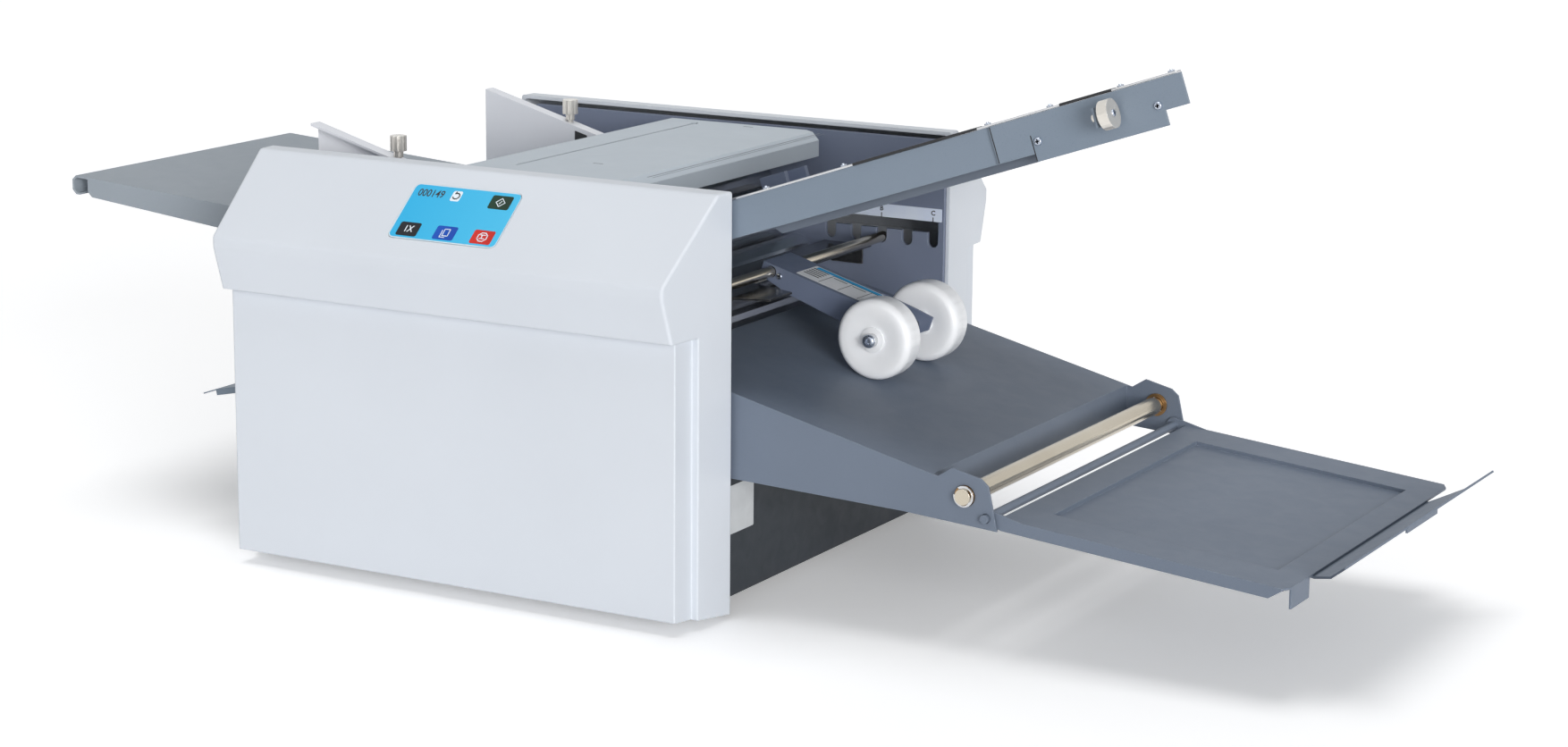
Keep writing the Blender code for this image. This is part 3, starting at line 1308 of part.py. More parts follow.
def build_latch(material, fold):
    """Small open block that stands on the grid near the lid."""
    seat = POCKET_GAP / 2 + THIN_SHEET + FIT_GAP
    block = bmesh.new()
    box(block, (LATCH_X, LATCH_X + LATCH_LENGTH), (LATCH_Y - LATCH_WIDTH / 2, LATCH_Y + LATCH_WIDTH / 2),
        (seat, seat + LATCH_HEIGHT))
    piece = add_piece("fold_plate_latch", block, material, fold)
    hollow = bmesh.new()
    wide = LATCH_WIDTH / 2 - LATCH_WALL
    box(hollow, (LATCH_X + LATCH_WALL, LATCH_X + LATCH_LENGTH + OVERRUN), (LATCH_Y - wide, LATCH_Y + wide),
        (seat + LATCH_WALL, seat + LATCH_HEIGHT + OVERRUN))
    cut(piece, hollow, "hollow")


def build_stop_bracket(materials, fold):
    """Arm fixed to the deck's front flange, with a tab that carries the stop knob."""
    inner = PLATE_HALF + FIT_GAP
    outer = inner + SHEET
    outline = [(PLATE_JOINT, PLATE_FLANGE_FOOT), (BRACKET_STEP, PLATE_FLANGE_FOOT), (BRACKET_STEP, BRACKET_FOOT),
               (BRACKET_NOTCH_START, BRACKET_FOOT), (BRACKET_NOTCH_START, BRACKET_NOTCH_FOOT),
               (BRACKET_END, BRACKET_NOTCH_FOOT), (BRACKET_END, PLATE_TOP), (PLATE_JOINT, PLATE_TOP)]
    mesh = bmesh.new()
    prism(mesh, outline, "Y", -outer, -inner)
    bracket = add_piece("stop_bracket", mesh, materials["sheet"], fold)
    knob_y = -(outer + KNOB_STANDOFF)
    tab = bmesh.new()
    tab_u = KNOB_U - KNOB_NECK
    box(tab, (tab_u - SHEET, tab_u), (-outer - TAB_REACH, -inner - SHEET / 2),
        (KNOB_V - TAB_HALF_HEIGHT, KNOB_V + TAB_HALF_HEIGHT))
    join(bracket, tab, "tab")
    hole = bmesh.new()
    cylinder(hole, "X", (knob_y, KNOB_V), KNOB_SHAFT + SHAFT_PLAY, tab_u - OVERRUN, tab_u + OVERRUN, SMALL_SIDES)
    cut(bracket, hole, "shaft_hole")

    stem = bmesh.new()
    cylinder(stem, "X", (0.0, 0.0), KNOB_SHAFT, tab_u - SHEET - KNOB_NECK, KNOB_U + KNOB_NECK, SMALL_SIDES)
    knob = add_piece("stop_knob", stem, materials["steel"], fold, (0.0, knob_y, KNOB_V))
    head = bmesh.new()
    prism(head, circle((0.0, 0.0), KNOB_RADIUS, ROUND_SIDES), "X", KNOB_U, KNOB_U + KNOB_LENGTH)
    join(knob, head, "head")


def build_paper_stop(material, fold):
    """Bar in the fold plate's pocket, with fingers towards the nip."""
    half = POCKET_GAP / 2 - FIT_GAP
    outline = [(STOP_U + STOP_LENGTH, STOP_HALF), (STOP_U + STOP_LENGTH, -STOP_HALF)]
    pitch = 2 * STOP_HALF / STOP_FINGERS
    for index in range(STOP_FINGERS):
        middle = -STOP_HALF + (index + 0.5) * pitch
        low = middle - STOP_FINGER_WIDTH / 2
        high = middle + STOP_FINGER_WIDTH / 2
        if index == 0:
            outline.append((STOP_U, -STOP_HALF))
        outline += [(STOP_U, low), (STOP_U - STOP_FINGER_LENGTH, low), (STOP_U - STOP_FINGER_LENGTH, high),
                    (STOP_U, high)]
    outline.append((STOP_U, STOP_HALF))
    mesh = bmesh.new()
    prism(mesh, outline, "Z", -half, half)
    add_piece("upper_paper_stop", mesh, material, fold)


def lower_path():
    """Points along the upper face of the lower fold plate."""
    return [(LOWER_START_X, LOWER_START_Z), (LOWER_BEND_X, LOWER_BEND_Z), (LOWER_KNEE_X, LOWER_KNEE_Z),
            (LOWER_END_X, LOWER_END_Z)]


def lower_path_below(drop):
    """Points along the lower fold plate, a given distance below its upper face."""
    path = lower_path()
    strip = sheet_strip(path, drop)
    return strip[len(path):][::-1]


def build_lower_fold_plate(materials, root):
    """Thin closed pocket whose upper sheet runs on as a bent tip, and the stop that slides in it."""
    path = lower_path()
    thickness = LOWER_POCKET + 2 * THIN_SHEET
    mesh = bmesh.new()
    prism(mesh, sheet_strip(path, thickness), "Y", -LOWER_HALF, LOWER_HALF)
    plate = add_piece("lower_fold_plate", mesh, materials["sheet"], root)
    run = (Vector(path[-1]) - Vector(path[-2])).normalized()
    tip_root = Vector(path[-1]) - run * LOWER_TIP_LENGTH
    tip = [tuple(tip_root), tuple(path[-1]), (LOWER_END_X - LOWER_TIP_LENGTH, LOWER_END_Z - LOWER_TIP_DROP)]
    lip = bmesh.new()
    prism(lip, sheet_strip(tip, THIN_SHEET), "Y", -LOWER_HALF, LOWER_HALF)
    join(plate, lip, "tip")
    inner = lower_path_below(THIN_SHEET)
    first = Vector(inner[0])
    lead = (first - Vector(inner[1])).normalized() * OVERRUN
    last = Vector(inner[-1]) - run * LOWER_RIM
    inner = [tuple(first + lead)] + inner[1:-1] + [tuple(last)]
    pocket = bmesh.new()
    half = LOWER_HALF - LOWER_RIM
    prism(pocket, sheet_strip(inner, LOWER_POCKET), "Y", -half, half)
    cut(plate, pocket, "pocket")

    knee = Vector(lower_path_below(THIN_SHEET + LOWER_POCKET / 2)[2])
    middle = knee + run * (knee.x - LOWER_STOP_X) / -run.x
    gap = LOWER_POCKET / 2 - FIT_GAP
    square = Vector((-run.y, run.x)) * gap
    ends = (middle - run * LOWER_STOP_LENGTH / 2, middle + run * LOWER_STOP_LENGTH / 2)
    outline = [tuple(ends[0] + square), tuple(ends[1] + square), tuple(ends[1] - square), tuple(ends[0] - square)]
    stop = bmesh.new()
    prism(stop, outline, "Y", -LOWER_STOP_HALF, LOWER_STOP_HALF)
    add_piece("lower_paper_stop", stop, materials["dark"], root)


def build_exit_guide(material, root):
    """Flat plate between the frames, with a tapered tongue over the exit rollers."""
    half = GUIDE_PLATE_HALF
    outline = [(GUIDE_PLATE_LEFT, -half), (GUIDE_PLATE_RIGHT, -half),
               (GUIDE_PLATE_RIGHT, TONGUE_Y - TONGUE_BASE_HALF),
               (GUIDE_PLATE_RIGHT + TONGUE_REACH, TONGUE_Y - TONGUE_TIP_HALF),
               (GUIDE_PLATE_RIGHT + TONGUE_REACH, TONGUE_Y + TONGUE_TIP_HALF),
               (GUIDE_PLATE_RIGHT, TONGUE_Y + TONGUE_BASE_HALF), (GUIDE_PLATE_RIGHT, half),
               (GUIDE_PLATE_LEFT, half)]
    mesh = bmesh.new()
    prism(mesh, outline, "Z", GUIDE_PLATE_Z, GUIDE_PLATE_Z + SHEET)
    guide = add_piece("exit_guide", mesh, material, root)
    ears = bmesh.new()
    inset = GUIDE_EAR / 2
    for side in (-1, 1):
        near, far = sorted((side * (half - SHEET), side * half))
        box(ears, (GUIDE_PLATE_LEFT + inset, GUIDE_PLATE_RIGHT - inset), (near, far),
            (GUIDE_PLATE_Z - GUIDE_EAR, GUIDE_PLATE_Z + SHEET / 2))
    join(guide, ears, "ears")


def build_wheel_shaft(material, root):
    mesh = bmesh.new()
    cylinder(mesh, "Y", wheel_shaft_place(), WHEEL_SHAFT_RADIUS, -FRAME_OUTER, FRAME_OUTER, ROUND_SIDES)
    add_piece("wheel_shaft", mesh, material, root)


def build_exit_arm(materials, arm):
    """Folded arm that swings on the wheel shaft, with the axle at its free end."""
    end = ARM_REACH + ARM_TOE
    outline = [(-ARM_HEEL, -ARM_FOOT_HEEL), (ARM_FOOT_START, -ARM_FOOT_TOE),
               (end - ARM_TOE_CHAMFER, -ARM_FOOT_TOE), (end, ARM_TOE_CHAMFER_Z), (end, ARM_TOE_RISE),
               (ARM_TOE_START, ARM_TOE_RISE), (ARM_TOP_END, ARM_TOP_RISE),
               (-ARM_HEEL, ARM_TOP_HEEL)]
    mesh = bmesh.new()
    prism(mesh, outline, "Y", -ARM_HALF, ARM_HALF)
    piece = add_piece("exit_wheel_arm", mesh, materials["dark"], arm)
    inner = ARM_HALF - ARM_WALL
    inside = bmesh.new()
    heel = -ARM_HEEL - OVERRUN
    under = [(heel, -ARM_FOOT_TOE - OVERRUN), (end + OVERRUN, -ARM_FOOT_TOE - OVERRUN),
             (end + OVERRUN, ARM_TOE_RISE + OVERRUN), (ARM_TOP_END, ARM_TOE_RISE + OVERRUN),
             (ARM_TOP_END, ARM_TOP_RISE - ARM_WALL), (heel, ARM_TOP_HEEL - ARM_WALL)]
    prism(inside, under, "Y", -inner, inner)
    cut(piece, inside, "inside")
    holes = bmesh.new()
    wide = ARM_HALF + OVERRUN
    cylinder(holes, "Y", (0.0, 0.0), WHEEL_SHAFT_RADIUS + SHAFT_PLAY, -wide, wide, SMALL_SIDES)
    cylinder(holes, "Y", (ARM_REACH, 0.0), AXLE_RADIUS + FIT_GAP, -wide, wide, SMALL_SIDES)
    cut(piece, holes, "holes")

    half = WHEEL_SPACING / 2 + WHEEL_WIDTH / 2 + FIT_GAP
    axle = bmesh.new()
    turned(axle, stepped([(-half - AXLE_HEAD, -half, AXLE_HEAD_RADIUS), (-half, half, AXLE_RADIUS),
                          (half, half + AXLE_HEAD, AXLE_HEAD_RADIUS)]), SMALL_SIDES)
    add_piece("wheel_axle", axle, materials["steel"], arm, (ARM_REACH, 0.0, 0.0))


def build_exit_wheel(label, side, material, arm):
    half = WHEEL_WIDTH / 2
    bore = AXLE_RADIUS + SHAFT_PLAY
    rim = WHEEL_RADIUS - WHEEL_RIM_WALL
    profile = [(-half, bore), (-half, WHEEL_HUB_RADIUS), (-WHEEL_WEB / 2, WHEEL_HUB_RADIUS), (-WHEEL_WEB / 2, rim),
               (-half, rim)]
    quarter = math.pi / 2
    shoulder = WHEEL_RADIUS - WHEEL_ROUND
    profile += arc((WHEEL_ROUND - half, shoulder), WHEEL_ROUND, math.pi, quarter, 3)
    profile += arc((half - WHEEL_ROUND, shoulder), WHEEL_ROUND, quarter, 0.0, 3)
    profile += [(half, rim), (WHEEL_WEB / 2, rim), (WHEEL_WEB / 2, WHEEL_HUB_RADIUS), (half, WHEEL_HUB_RADIUS),
                (half, bore), (-half, bore)]
    mesh = bmesh.new()
    turned(mesh, profile, FINE_SIDES)
    add_piece(label + "_exit_wheel", mesh, material, arm, (ARM_REACH, side * WHEEL_SPACING / 2, 0.0))


def build_exit_chute(material, root):
    """Sloping floor with deep flanges that end in two ears."""
    floor_end = chute_z(CHUTE_FLOOR_END)
    slope = (CHUTE_FOOT_Z - CHUTE_FOOT_START_Z) / (CHUTE_FOOT_X - CHUTE_FOOT_START)
    foot = CHUTE_FOOT_START_Z + slope * (CHUTE_LEFT - CHUTE_FOOT_START)
    outline = [(CHUTE_LEFT, chute_z(CHUTE_LEFT)), (CHUTE_LEFT, foot), (CHUTE_FOOT_X, CHUTE_FOOT_Z),
               (EAR_FOOT_X, EAR_FOOT_Z), (EAR_SHOULDER_X, EAR_SHOULDER_Z), (EAR_CREST_X, EAR_CREST_Z),
               (EAR_RISE_X, EAR_RISE_Z), (EAR_NOTCH_X, chute_z(EAR_NOTCH_X)), (CHUTE_FLOOR_END, floor_end)]
    mesh = bmesh.new()
    prism(mesh, outline, "Y", -CHUTE_HALF, CHUTE_HALF)
    chute = add_piece("exit_chute", mesh, material, root)
    inner = CHUTE_HALF - SHEET
    left = CHUTE_LEFT - OVERRUN
    bottom = EAR_FOOT_Z - OVERRUN
    wall = CHUTE_FLOOR_END - SHEET
    under = [(left, chute_z(left) - SHEET), (left, bottom), (wall, bottom), (wall, chute_z(wall) - SHEET)]
    inside = bmesh.new()
    prism(inside, under, "Y", -inner, inner)
    cut(chute, inside, "inside")
    between = bmesh.new()
    box(between, (CHUTE_FLOOR_END, EAR_FOOT_X + OVERRUN), (-inner, inner), (bottom, EAR_RISE_Z + OVERRUN))
    cut(chute, between, "between_ears")
    holes = bmesh.new()
    wide = CHUTE_HALF + OVERRUN
    cylinder(holes, "Y", (ROLLER_X, ROLLER_Z), BUSHING_RADIUS + FIT_GAP, -wide, wide, SMALL_SIDES)
    cylinder(holes, "Y", (HINGE_X, HINGE_Z), HINGE_RADIUS + SHAFT_PLAY, -wide, wide, SMALL_SIDES)
    cut(chute, holes, "holes")


def build_tray_roller(materials, root):
    end = CHUTE_HALF + TRAY_SHAFT_STUB
    sections = [(-end, -TRAY_ROLLER_HALF, TRAY_SHAFT_RADIUS),
                (-TRAY_ROLLER_HALF, TRAY_ROLLER_HALF, TRAY_ROLLER_RADIUS),
                (TRAY_ROLLER_HALF, end, TRAY_SHAFT_RADIUS)]
    mesh = bmesh.new()
    turned(mesh, stepped(sections), ROUND_SIDES)
    add_piece("tray_roller", mesh, materials["steel"], root, (ROLLER_X, 0.0, ROLLER_Z))
    inside = CHUTE_HALF - SHEET - FIT_GAP
    outside = CHUTE_HALF + BUSHING_FLANGE
    bore = TRAY_SHAFT_RADIUS + FIT_GAP
    for label, side in (("front", -1), ("rear", 1)):
        profile = [(side * (inside - BUSHING_FLANGE), bore), (side * (inside - BUSHING_FLANGE), BUSHING_FLANGE_RADIUS),
                   (side * inside, BUSHING_FLANGE_RADIUS), (side * inside, BUSHING_RADIUS),
                   (side * outside, BUSHING_RADIUS), (side * outside, bore), (side * (inside - BUSHING_FLANGE), bore)]
        mesh = bmesh.new()
        turned(mesh, profile, ROUND_SIDES)
        add_piece(label + "_roller_bushing", mesh, materials["bronze"], root, (ROLLER_X, 0.0, ROLLER_Z))


def build_extension_tray(materials, root):
    """Hinged tray with a sunken middle, and the upturned lip at its outer end."""
    start_z = shelf_z(SHELF_START)
    end_z = shelf_z(SHELF_END)
    outline = [(SHELF_START, start_z), (SHELF_START, start_z - SHELF_FLANGE), (SHELF_END, end_z - SHELF_FLANGE),
               (SHELF_END, end_z)]
    mesh = bmesh.new()
    prism(mesh, outline, "Y", -SHELF_HALF, SHELF_HALF)
    tray = add_piece("extension_tray", mesh, materials["sheet"], root)
    inner = SHELF_HALF - SHEET
    left = SHELF_START - OVERRUN
    right = SHELF_END + OVERRUN
    floor_left = shelf_z(WELL_START) - SHEET
    under = [(left, shelf_z(left) - SHEET), (left, start_z - SHELF_FLANGE - OVERRUN),
             (right, end_z - SHELF_FLANGE - OVERRUN), (right, shelf_z(right) - SHEET)]
    inside = bmesh.new()
    prism(inside, under, "Y", -inner, inner)
    cut(tray, inside, "inside")
    corners = bmesh.new()
    corner_x = SHELF_END - SHELF_CORNER
    for side in (-1, 1):
        tip = side * (SHELF_HALF + OVERRUN)
        edge = side * SHELF_HALF
        back = side * (SHELF_HALF - SHELF_CORNER_WIDTH)
        outline = [(corner_x, edge), (corner_x, tip), (SHELF_END + OVERRUN, tip), (SHELF_END + OVERRUN, back),
                   (SHELF_END, back)]
        prism(corners, outline, "Z", end_z - SHELF_FLANGE - OVERRUN, start_z)
    cut(tray, corners, "corners")
    slants = bmesh.new()
    low = end_z - SHELF_FLANGE - OVERRUN
    outline = [(corner_x - SHELF_FLANGE_SLANT, low), (SHELF_END + OVERRUN, low), (SHELF_END + OVERRUN, end_z - SHEET),
               (corner_x, end_z - SHEET)]
    for side in (-1, 1):
        near, far = sorted((side * inner, side * (SHELF_HALF + OVERRUN)))
        prism(slants, outline, "Y", near, far)
    cut(tray, slants, "flange_slants")
    pan = bmesh.new()
    deep = WELL_DEPTH
    floor_right = shelf_z(WELL_END) - SHEET
    outline = [(WELL_START - SHEET, floor_left + SHEET / 2), (WELL_START - SHEET, floor_left - deep),
               (WELL_END + SHEET, floor_right - deep), (WELL_END + SHEET, floor_right + SHEET / 2)]
    prism(pan, outline, "Y", -WELL_HALF - SHEET, WELL_HALF + SHEET)
    join(tray, pan, "pan")
    well = bmesh.new()
    outline = [(WELL_START, shelf_z(WELL_START) - deep), (WELL_END, shelf_z(WELL_END) - deep),
               (WELL_END, shelf_z(WELL_END) + OVERRUN), (WELL_START, shelf_z(WELL_START) + OVERRUN)]
    prism(well, outline, "Y", -WELL_HALF, WELL_HALF)
    cut(tray, well, "well")
    lugs = bmesh.new()
    for side in (-1, 1):
        near, far = sorted((side * inner, side * SHELF_HALF))
        bend = arc((HINGE_X, HINGE_Z), LUG_RADIUS, math.radians(95.0), math.radians(265.0), 8)
        ahead = SHELF_START + LUG_LEAD
        prism(lugs, bend + [(ahead, shelf_z(ahead) - SHELF_FLANGE), (ahead, shelf_z(ahead))], "Y", near, far)
    join(tray, lugs, "lugs")
    rod = bmesh.new()
    reach = CHUTE_HALF + HINGE_RADIUS
    cylinder(rod, "Y", (HINGE_X, HINGE_Z), HINGE_RADIUS, -reach, reach, SMALL_SIDES)
    join(tray, rod, "rod")
    tab = bmesh.new()
    tab_edge = SHELF_CORNER_WIDTH - SHELF_HALF
    box(tab, (SHELF_END - SHEET, SHELF_END), (tab_edge, tab_edge + TAB_WIDTH), (end_z - TAB_DROP, end_z - SHEET / 2))
    join(tray, tab, "end_tab")

    root_x = WELL_END + 2 * SHEET
    drop = SHEET + FIT_GAP
    knee = (SHELF_END + FIT_GAP, end_z - drop)
    bend = (SHELF_END + LIP_BEND_RUN, knee[1] + LIP_BEND_RISE)
    tip = (SHELF_END + LIP_RUN, knee[1] + LIP_RISE)
    lip = bmesh.new()
    prism(lip, sheet_strip([tip, bend, knee, (root_x, shelf_z(root_x) - drop)], SHEET), "Y",
          -LIP_TIP_HALF, LIP_TIP_HALF)
    piece = add_piece("tray_end_lip", lip, materials["sheet"], root)
    flare = bmesh.new()
    for side in (-1, 1):
        beyond = side * (LIP_TIP_HALF + OVERRUN)
        outline = [(root_x - OVERRUN, side * LIP_ROOT_HALF), (SHELF_END, side * LIP_ROOT_HALF),
                   (tip[0], side * LIP_TIP_HALF), (tip[0], beyond), (root_x - OVERRUN, beyond)]
        prism(flare, outline, "Z", knee[1] - OVERRUN, tip[1] + OVERRUN)
    cut(piece, flare, "flare")
    tab = bmesh.new()
    box(tab, (tip[0] - SHEET, tip[0]), (-LIP_TAB_HALF, LIP_TAB_HALF), (tip[1] - LIP_TAB_DROP, tip[1] - SHEET / 2))
    join(piece, tab, "tab")


def make_materials():
    return {
        "cover": make_material("cover_plastic", WHITE_PLASTIC, 0.45),
        "sheet": make_material("painted_sheet", SHEET_GREY, 0.45, 0.2),
        "lid": make_material("lid_paint", LID_GREY, 0.42, 0.2),
        "dark": make_material("dark_paint", DARK_GREY, 0.5),
        "pan": make_material("pan_paint", PAN_GREY, 0.55),
        "screen": make_material("screen_face", SCREEN_CYAN, 0.2),
        "nylon": make_material("wheel_nylon", NYLON, 0.4),
        "rubber": make_material("rubber", RUBBER_BLACK, 0.85),
        "steel": make_material("bright_steel", STEEL, 0.3, 1.0),
        "bronze": make_material("bearing_bronze", BRONZE, 0.4, 1.0),
        "board": make_material("board_green", BOARD_GREEN, 0.5),
        "black": make_material("black_plastic", BLACK_PLASTIC, 0.5),
        "guide": make_material("guide_paint", GUIDE_GREY, 0.45, 0.1),
    }


def main():
    clear_scene()
    materials = make_materials()
    root = add_empty("machine", (BODY_X, 0.0, 0.0))
    build_base_pan(materials["pan"], root)
    build_feet(materials["rubber"], root)
    build_frame("front_frame_plate", -1, materials["sheet"], root)
    build_frame("rear_frame_plate", 1, materials["sheet"], root)
    front_cover = build_cover("front_cover", -1, materials["cover"], root)
    build_cover("rear_cover", 1, materials["cover"], root)
    build_screen(materials, front_cover, slant_empty(root))
    build_power_parts(materials, root)
    build_drive(materials, root)
    build_fold_rollers(materials["steel"], root)
    build_feed_roller(materials, root)
    build_tie_bar(materials["steel"], root)
    build_hopper_table(materials["sheet"], root)
    build_separator(materials, root)
    build_side_guide("front", -1, materials, root)
    build_side_guide("rear", 1, materials, root)
    build_infeed_tray(materials["sheet"], root)
    build_lid(materials["lid"], root)
    fold = add_empty("fold_plane", (NIP_X, 0.0, NIP_Z), root, -FOLD_PITCH)
    build_deck(materials["sheet"], fold)
    build_channel(materials["sheet"], fold)
    build_grid(materials["steel"], fold)
    build_latch(materials["dark"], fold)
    build_stop_bracket(materials, fold)
    build_paper_stop(materials["dark"], fold)
    build_lower_fold_plate(materials, root)
    build_exit_guide(materials["dark"], root)
    build_wheel_shaft(materials["steel"], root)
    x, z = wheel_shaft_place()
    arm = add_empty("arm_line", (x, ARM_Y, z), root, arm_pitch())
    build_exit_arm(materials, arm)
    build_exit_wheel("front", -1, materials["nylon"], arm)
    build_exit_wheel("rear", 1, materials["nylon"], arm)
    build_exit_chute(materials["sheet"], root)
    build_tray_roller(materials, root)
    build_extension_tray(materials, root)


main()
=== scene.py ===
import math

import bmesh
import bpy
from mathutils import Matrix, Vector


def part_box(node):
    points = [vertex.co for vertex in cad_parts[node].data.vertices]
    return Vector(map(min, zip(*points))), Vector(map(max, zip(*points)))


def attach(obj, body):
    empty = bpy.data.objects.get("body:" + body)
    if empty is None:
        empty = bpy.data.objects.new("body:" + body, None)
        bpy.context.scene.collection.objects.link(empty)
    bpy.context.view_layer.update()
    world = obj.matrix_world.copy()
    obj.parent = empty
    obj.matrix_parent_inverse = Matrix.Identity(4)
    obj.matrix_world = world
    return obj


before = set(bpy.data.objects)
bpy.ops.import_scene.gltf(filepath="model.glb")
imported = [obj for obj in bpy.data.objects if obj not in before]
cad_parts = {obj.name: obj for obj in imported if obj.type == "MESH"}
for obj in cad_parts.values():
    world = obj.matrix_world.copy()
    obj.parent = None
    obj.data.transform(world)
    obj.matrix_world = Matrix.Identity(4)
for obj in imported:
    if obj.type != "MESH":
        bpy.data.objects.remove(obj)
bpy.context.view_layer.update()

# Camera and stage
CAMERA_PLACE = (1.22597, -2.11665, 0.67225)
CAMERA_TURN = math.radians(29.407)
CAMERA_PITCH = math.radians(12.406)
CAMERA_ROLL = math.radians(0.496)
CAMERA_LENS = 77.87
CAMERA_CLIP = (0.05, 60.0)
FLOOR_REACH = 30.0
FLOOR_DROP = 0.0002
FLOOR_COLOUR = (0.97, 0.97, 0.975, 1.0)
FLOOR_ROUGH = 0.55
FLOOR_SHINE = 0.2
FLOOR_GLOW = 0.27
WORLD_COLOUR = (0.97, 0.985, 1.0, 1.0)
WORLD_STRENGTH = 0.27
WORLD_MIRROR_SHARE = 0.80
LAMPS = (
    ("top_light", (-0.10, -0.05, 1.00), 1.18, math.radians(36.0)),
    ("front_light", (0.45, -1.00, 0.35), 0.40, math.radians(45.0)),
    ("side_light", (1.00, -0.80, 0.20), 2.22, math.radians(26.0)))

# Shared small sizes
HAIR = 0.0001
LABEL_THICKNESS = 0.00012
LABEL_CHAMFER = 0.4
CORNER_STEPS = 6
SMOOTH_ANGLE = math.radians(38.0)

# Small fasteners
TURN_SIDES = 32
HEAD_TURN = 0.3
NUT_REACH = 0.0023
NUT_HEIGHT = 0.0011
STUD_RADIUS = 0.0010
STUD_HEIGHT = 0.0020
STUD_SIDES = 12
CLIP_RADIUS = 0.0073
CLIP_GROOVE = 0.0052
CLIP_THICKNESS = 0.0008
CLIP_GAP = math.radians(24.0)
CLIP_STEPS = 26
CLIP_TURN = 2.6
CLIP_LIFT = 0.0006

# Touch screen, in the frame of its slanted face
SCREEN_ANGLE = math.radians(40.68)
SCREEN_PLACE = (-0.111, -0.21085, 0.2726)
SCREEN_LIFT = 0.0005
PICTURE_SIZE = (0.0884, 0.0479)
PICTURE_CORNER = 0.0036
PICTURE_SHIFT = (0.0006, 0.0)
KEY_SIZE = (0.0172, 0.0122)
KEY_CORNER = 0.0016
RESET_SIZE = (0.0078, 0.0092)
COUNTER_PLACE = (-0.0280, 0.0165)
COUNTER_HEIGHT = 0.0092
COUNTER_BOLD = 0.00008
RESET_PLACE = (-0.0068, 0.0165)
START_PLACE = (0.0310, 0.0150)
SINGLE_PLACE = (-0.0300, -0.0165)
COPY_PLACE = (0.0008, -0.0165)
STOP_PLACE = (0.0318, -0.0165)
KEY_TEXT_HEIGHT = 0.0080
KEY_TEXT_BOLD = 0.00005
TEXT_WIDTH = 0.80

# Signs on the keys, about the middle of each key
ARROW_REACH = 0.0026
ARROW_START = 205
ARROW_TURN = 31
ARROW_STEPS = 9
OCTAGON_REACH = 0.0040
DIAMOND = [(0.0, 0.0037), (-0.0037, 0.0), (0.0, -0.0037), (0.0037, 0.0)]
DIAMOND_SIGN = [((-0.0006, -0.0012), (0.0006, 0.0012))]
PAGE = [(-0.0014, -0.0026), (0.0030, -0.0026), (0.0030, 0.0034), (-0.0014, 0.0034)]
PAGE_BEHIND = [((-0.0030, 0.0020), (-0.0030, -0.0040)), ((-0.0030, -0.0040), (0.0010, -0.0040))]
STOP_SIGN = [((-0.0018, 0.0018), (0.0018, 0.0018)), ((-0.0018, -0.0014), (0.0018, -0.0014)),
             ((-0.0006, 0.0018), (-0.0006, -0.0014))]

# Exit wheels and their arm; two points along and above give the slope of the arm's top
ARM_STATIONS = ((-0.008, 0.0052), (0.074, 0.0099))
ARM_SCREW_PLACE = (0.0078, 0.0001)
ARM_LABEL = (0.0580, 0.0315)
ARM_LABEL_CORNER = 0.0010
ARM_LABEL_SHIFT = 0.0005
ARM_LABEL_PLACE = (0.0465, 0.00842)
BAND_HEIGHT = 0.0044
BAND_MARGIN = 0.0030
BAND_CORNER = 0.0003
BAND_SHIFT = (0.0012, 0.0034)
DASH_SHARE = 0.45
PRINT_SPAN = (-0.0265, -0.0120)
PRINT_ROWS = (0.0085, 0.0047, 0.0009, -0.0029, -0.0067)
PRINT_PITCH = 0.0021
CELL_SPANS = ((-0.0080, 0.0040), (0.0080, 0.0200))
CELL_ROWS = (0.0060,)
CELL_PITCH = 0.0014
RULING_X = (-0.0104, 0.0060, 0.0224)
RULING_TOP = 0.0098
RULING_MARGIN = 0.002
WHEEL_SKIN = 0.00015
WHEEL_ROUND = 0.0050
WHEEL_DISH = 0.0022
WHEEL_SIDES = 56
WHEEL_STEPS = 6
WHEEL_FACE_SHARES = (0.85, 0.65, 0.45, 0.30, 0.20)

# Upper fold plate: its frame, edge bar, side arm and screws; pairs are along and above
FOLD_PLACE = (-0.074, 0.0, 0.234)
FOLD_PITCH = math.radians(18.87)
FOLD_ALONG = (math.cos(FOLD_PITCH), 0.0, math.sin(FOLD_PITCH))
FOLD_UP = (-math.sin(FOLD_PITCH), 0.0, math.cos(FOLD_PITCH))
BAR_ENDS = (0.0220, 0.5060)
BAR_SIDES = (-0.1612, -0.1530)
BAR_LEVELS = (0.0056, 0.0071)
BAR_COVERS = ((0.2645, 0.3608), (0.4219, 0.4600))
NUT_PLACES = (0.1928, 0.2552, 0.3668, 0.4131, 0.4645, 0.5008)
NUT_Y = -0.1562
BRACKET_FACE_Y = -0.1617
BRACKET_SCREWS = ((0.4011, -0.0120), (0.4884, -0.0110))
# Two dark strokes on the arm's face: painted shade beside the arm's end edge and the step below it
ARM_EDGE_SHADES = [((0.3700, 0.0048), (0.3700, -0.0188)), ((0.3968, -0.0075), (0.3968, -0.0240))]
KNOB_FACE = (0.4632, -0.0077)
LATCH_SCREW = (0.0945, 0.0300, 0.0062)

# Pressed marks and slot of the top cover, drawn as strokes of painted shade
LID_MARKS = ((-0.0759, -0.0815), (-0.0770, 0.1354))
LID_MARK_HALF = 0.0035
LID_SLOT_X = -0.011
LID_SLOT_SIDE = 0.0021
LID_SLOT_ENDS = (-0.1150, 0.1330)

# Rating plate on the pan's end wall, placed by y and z
RATING_PLACE = (-0.1355, 0.0705)
RATING_SIZE = (0.0550, 0.0350)
RATING_CORNER = 0.0012

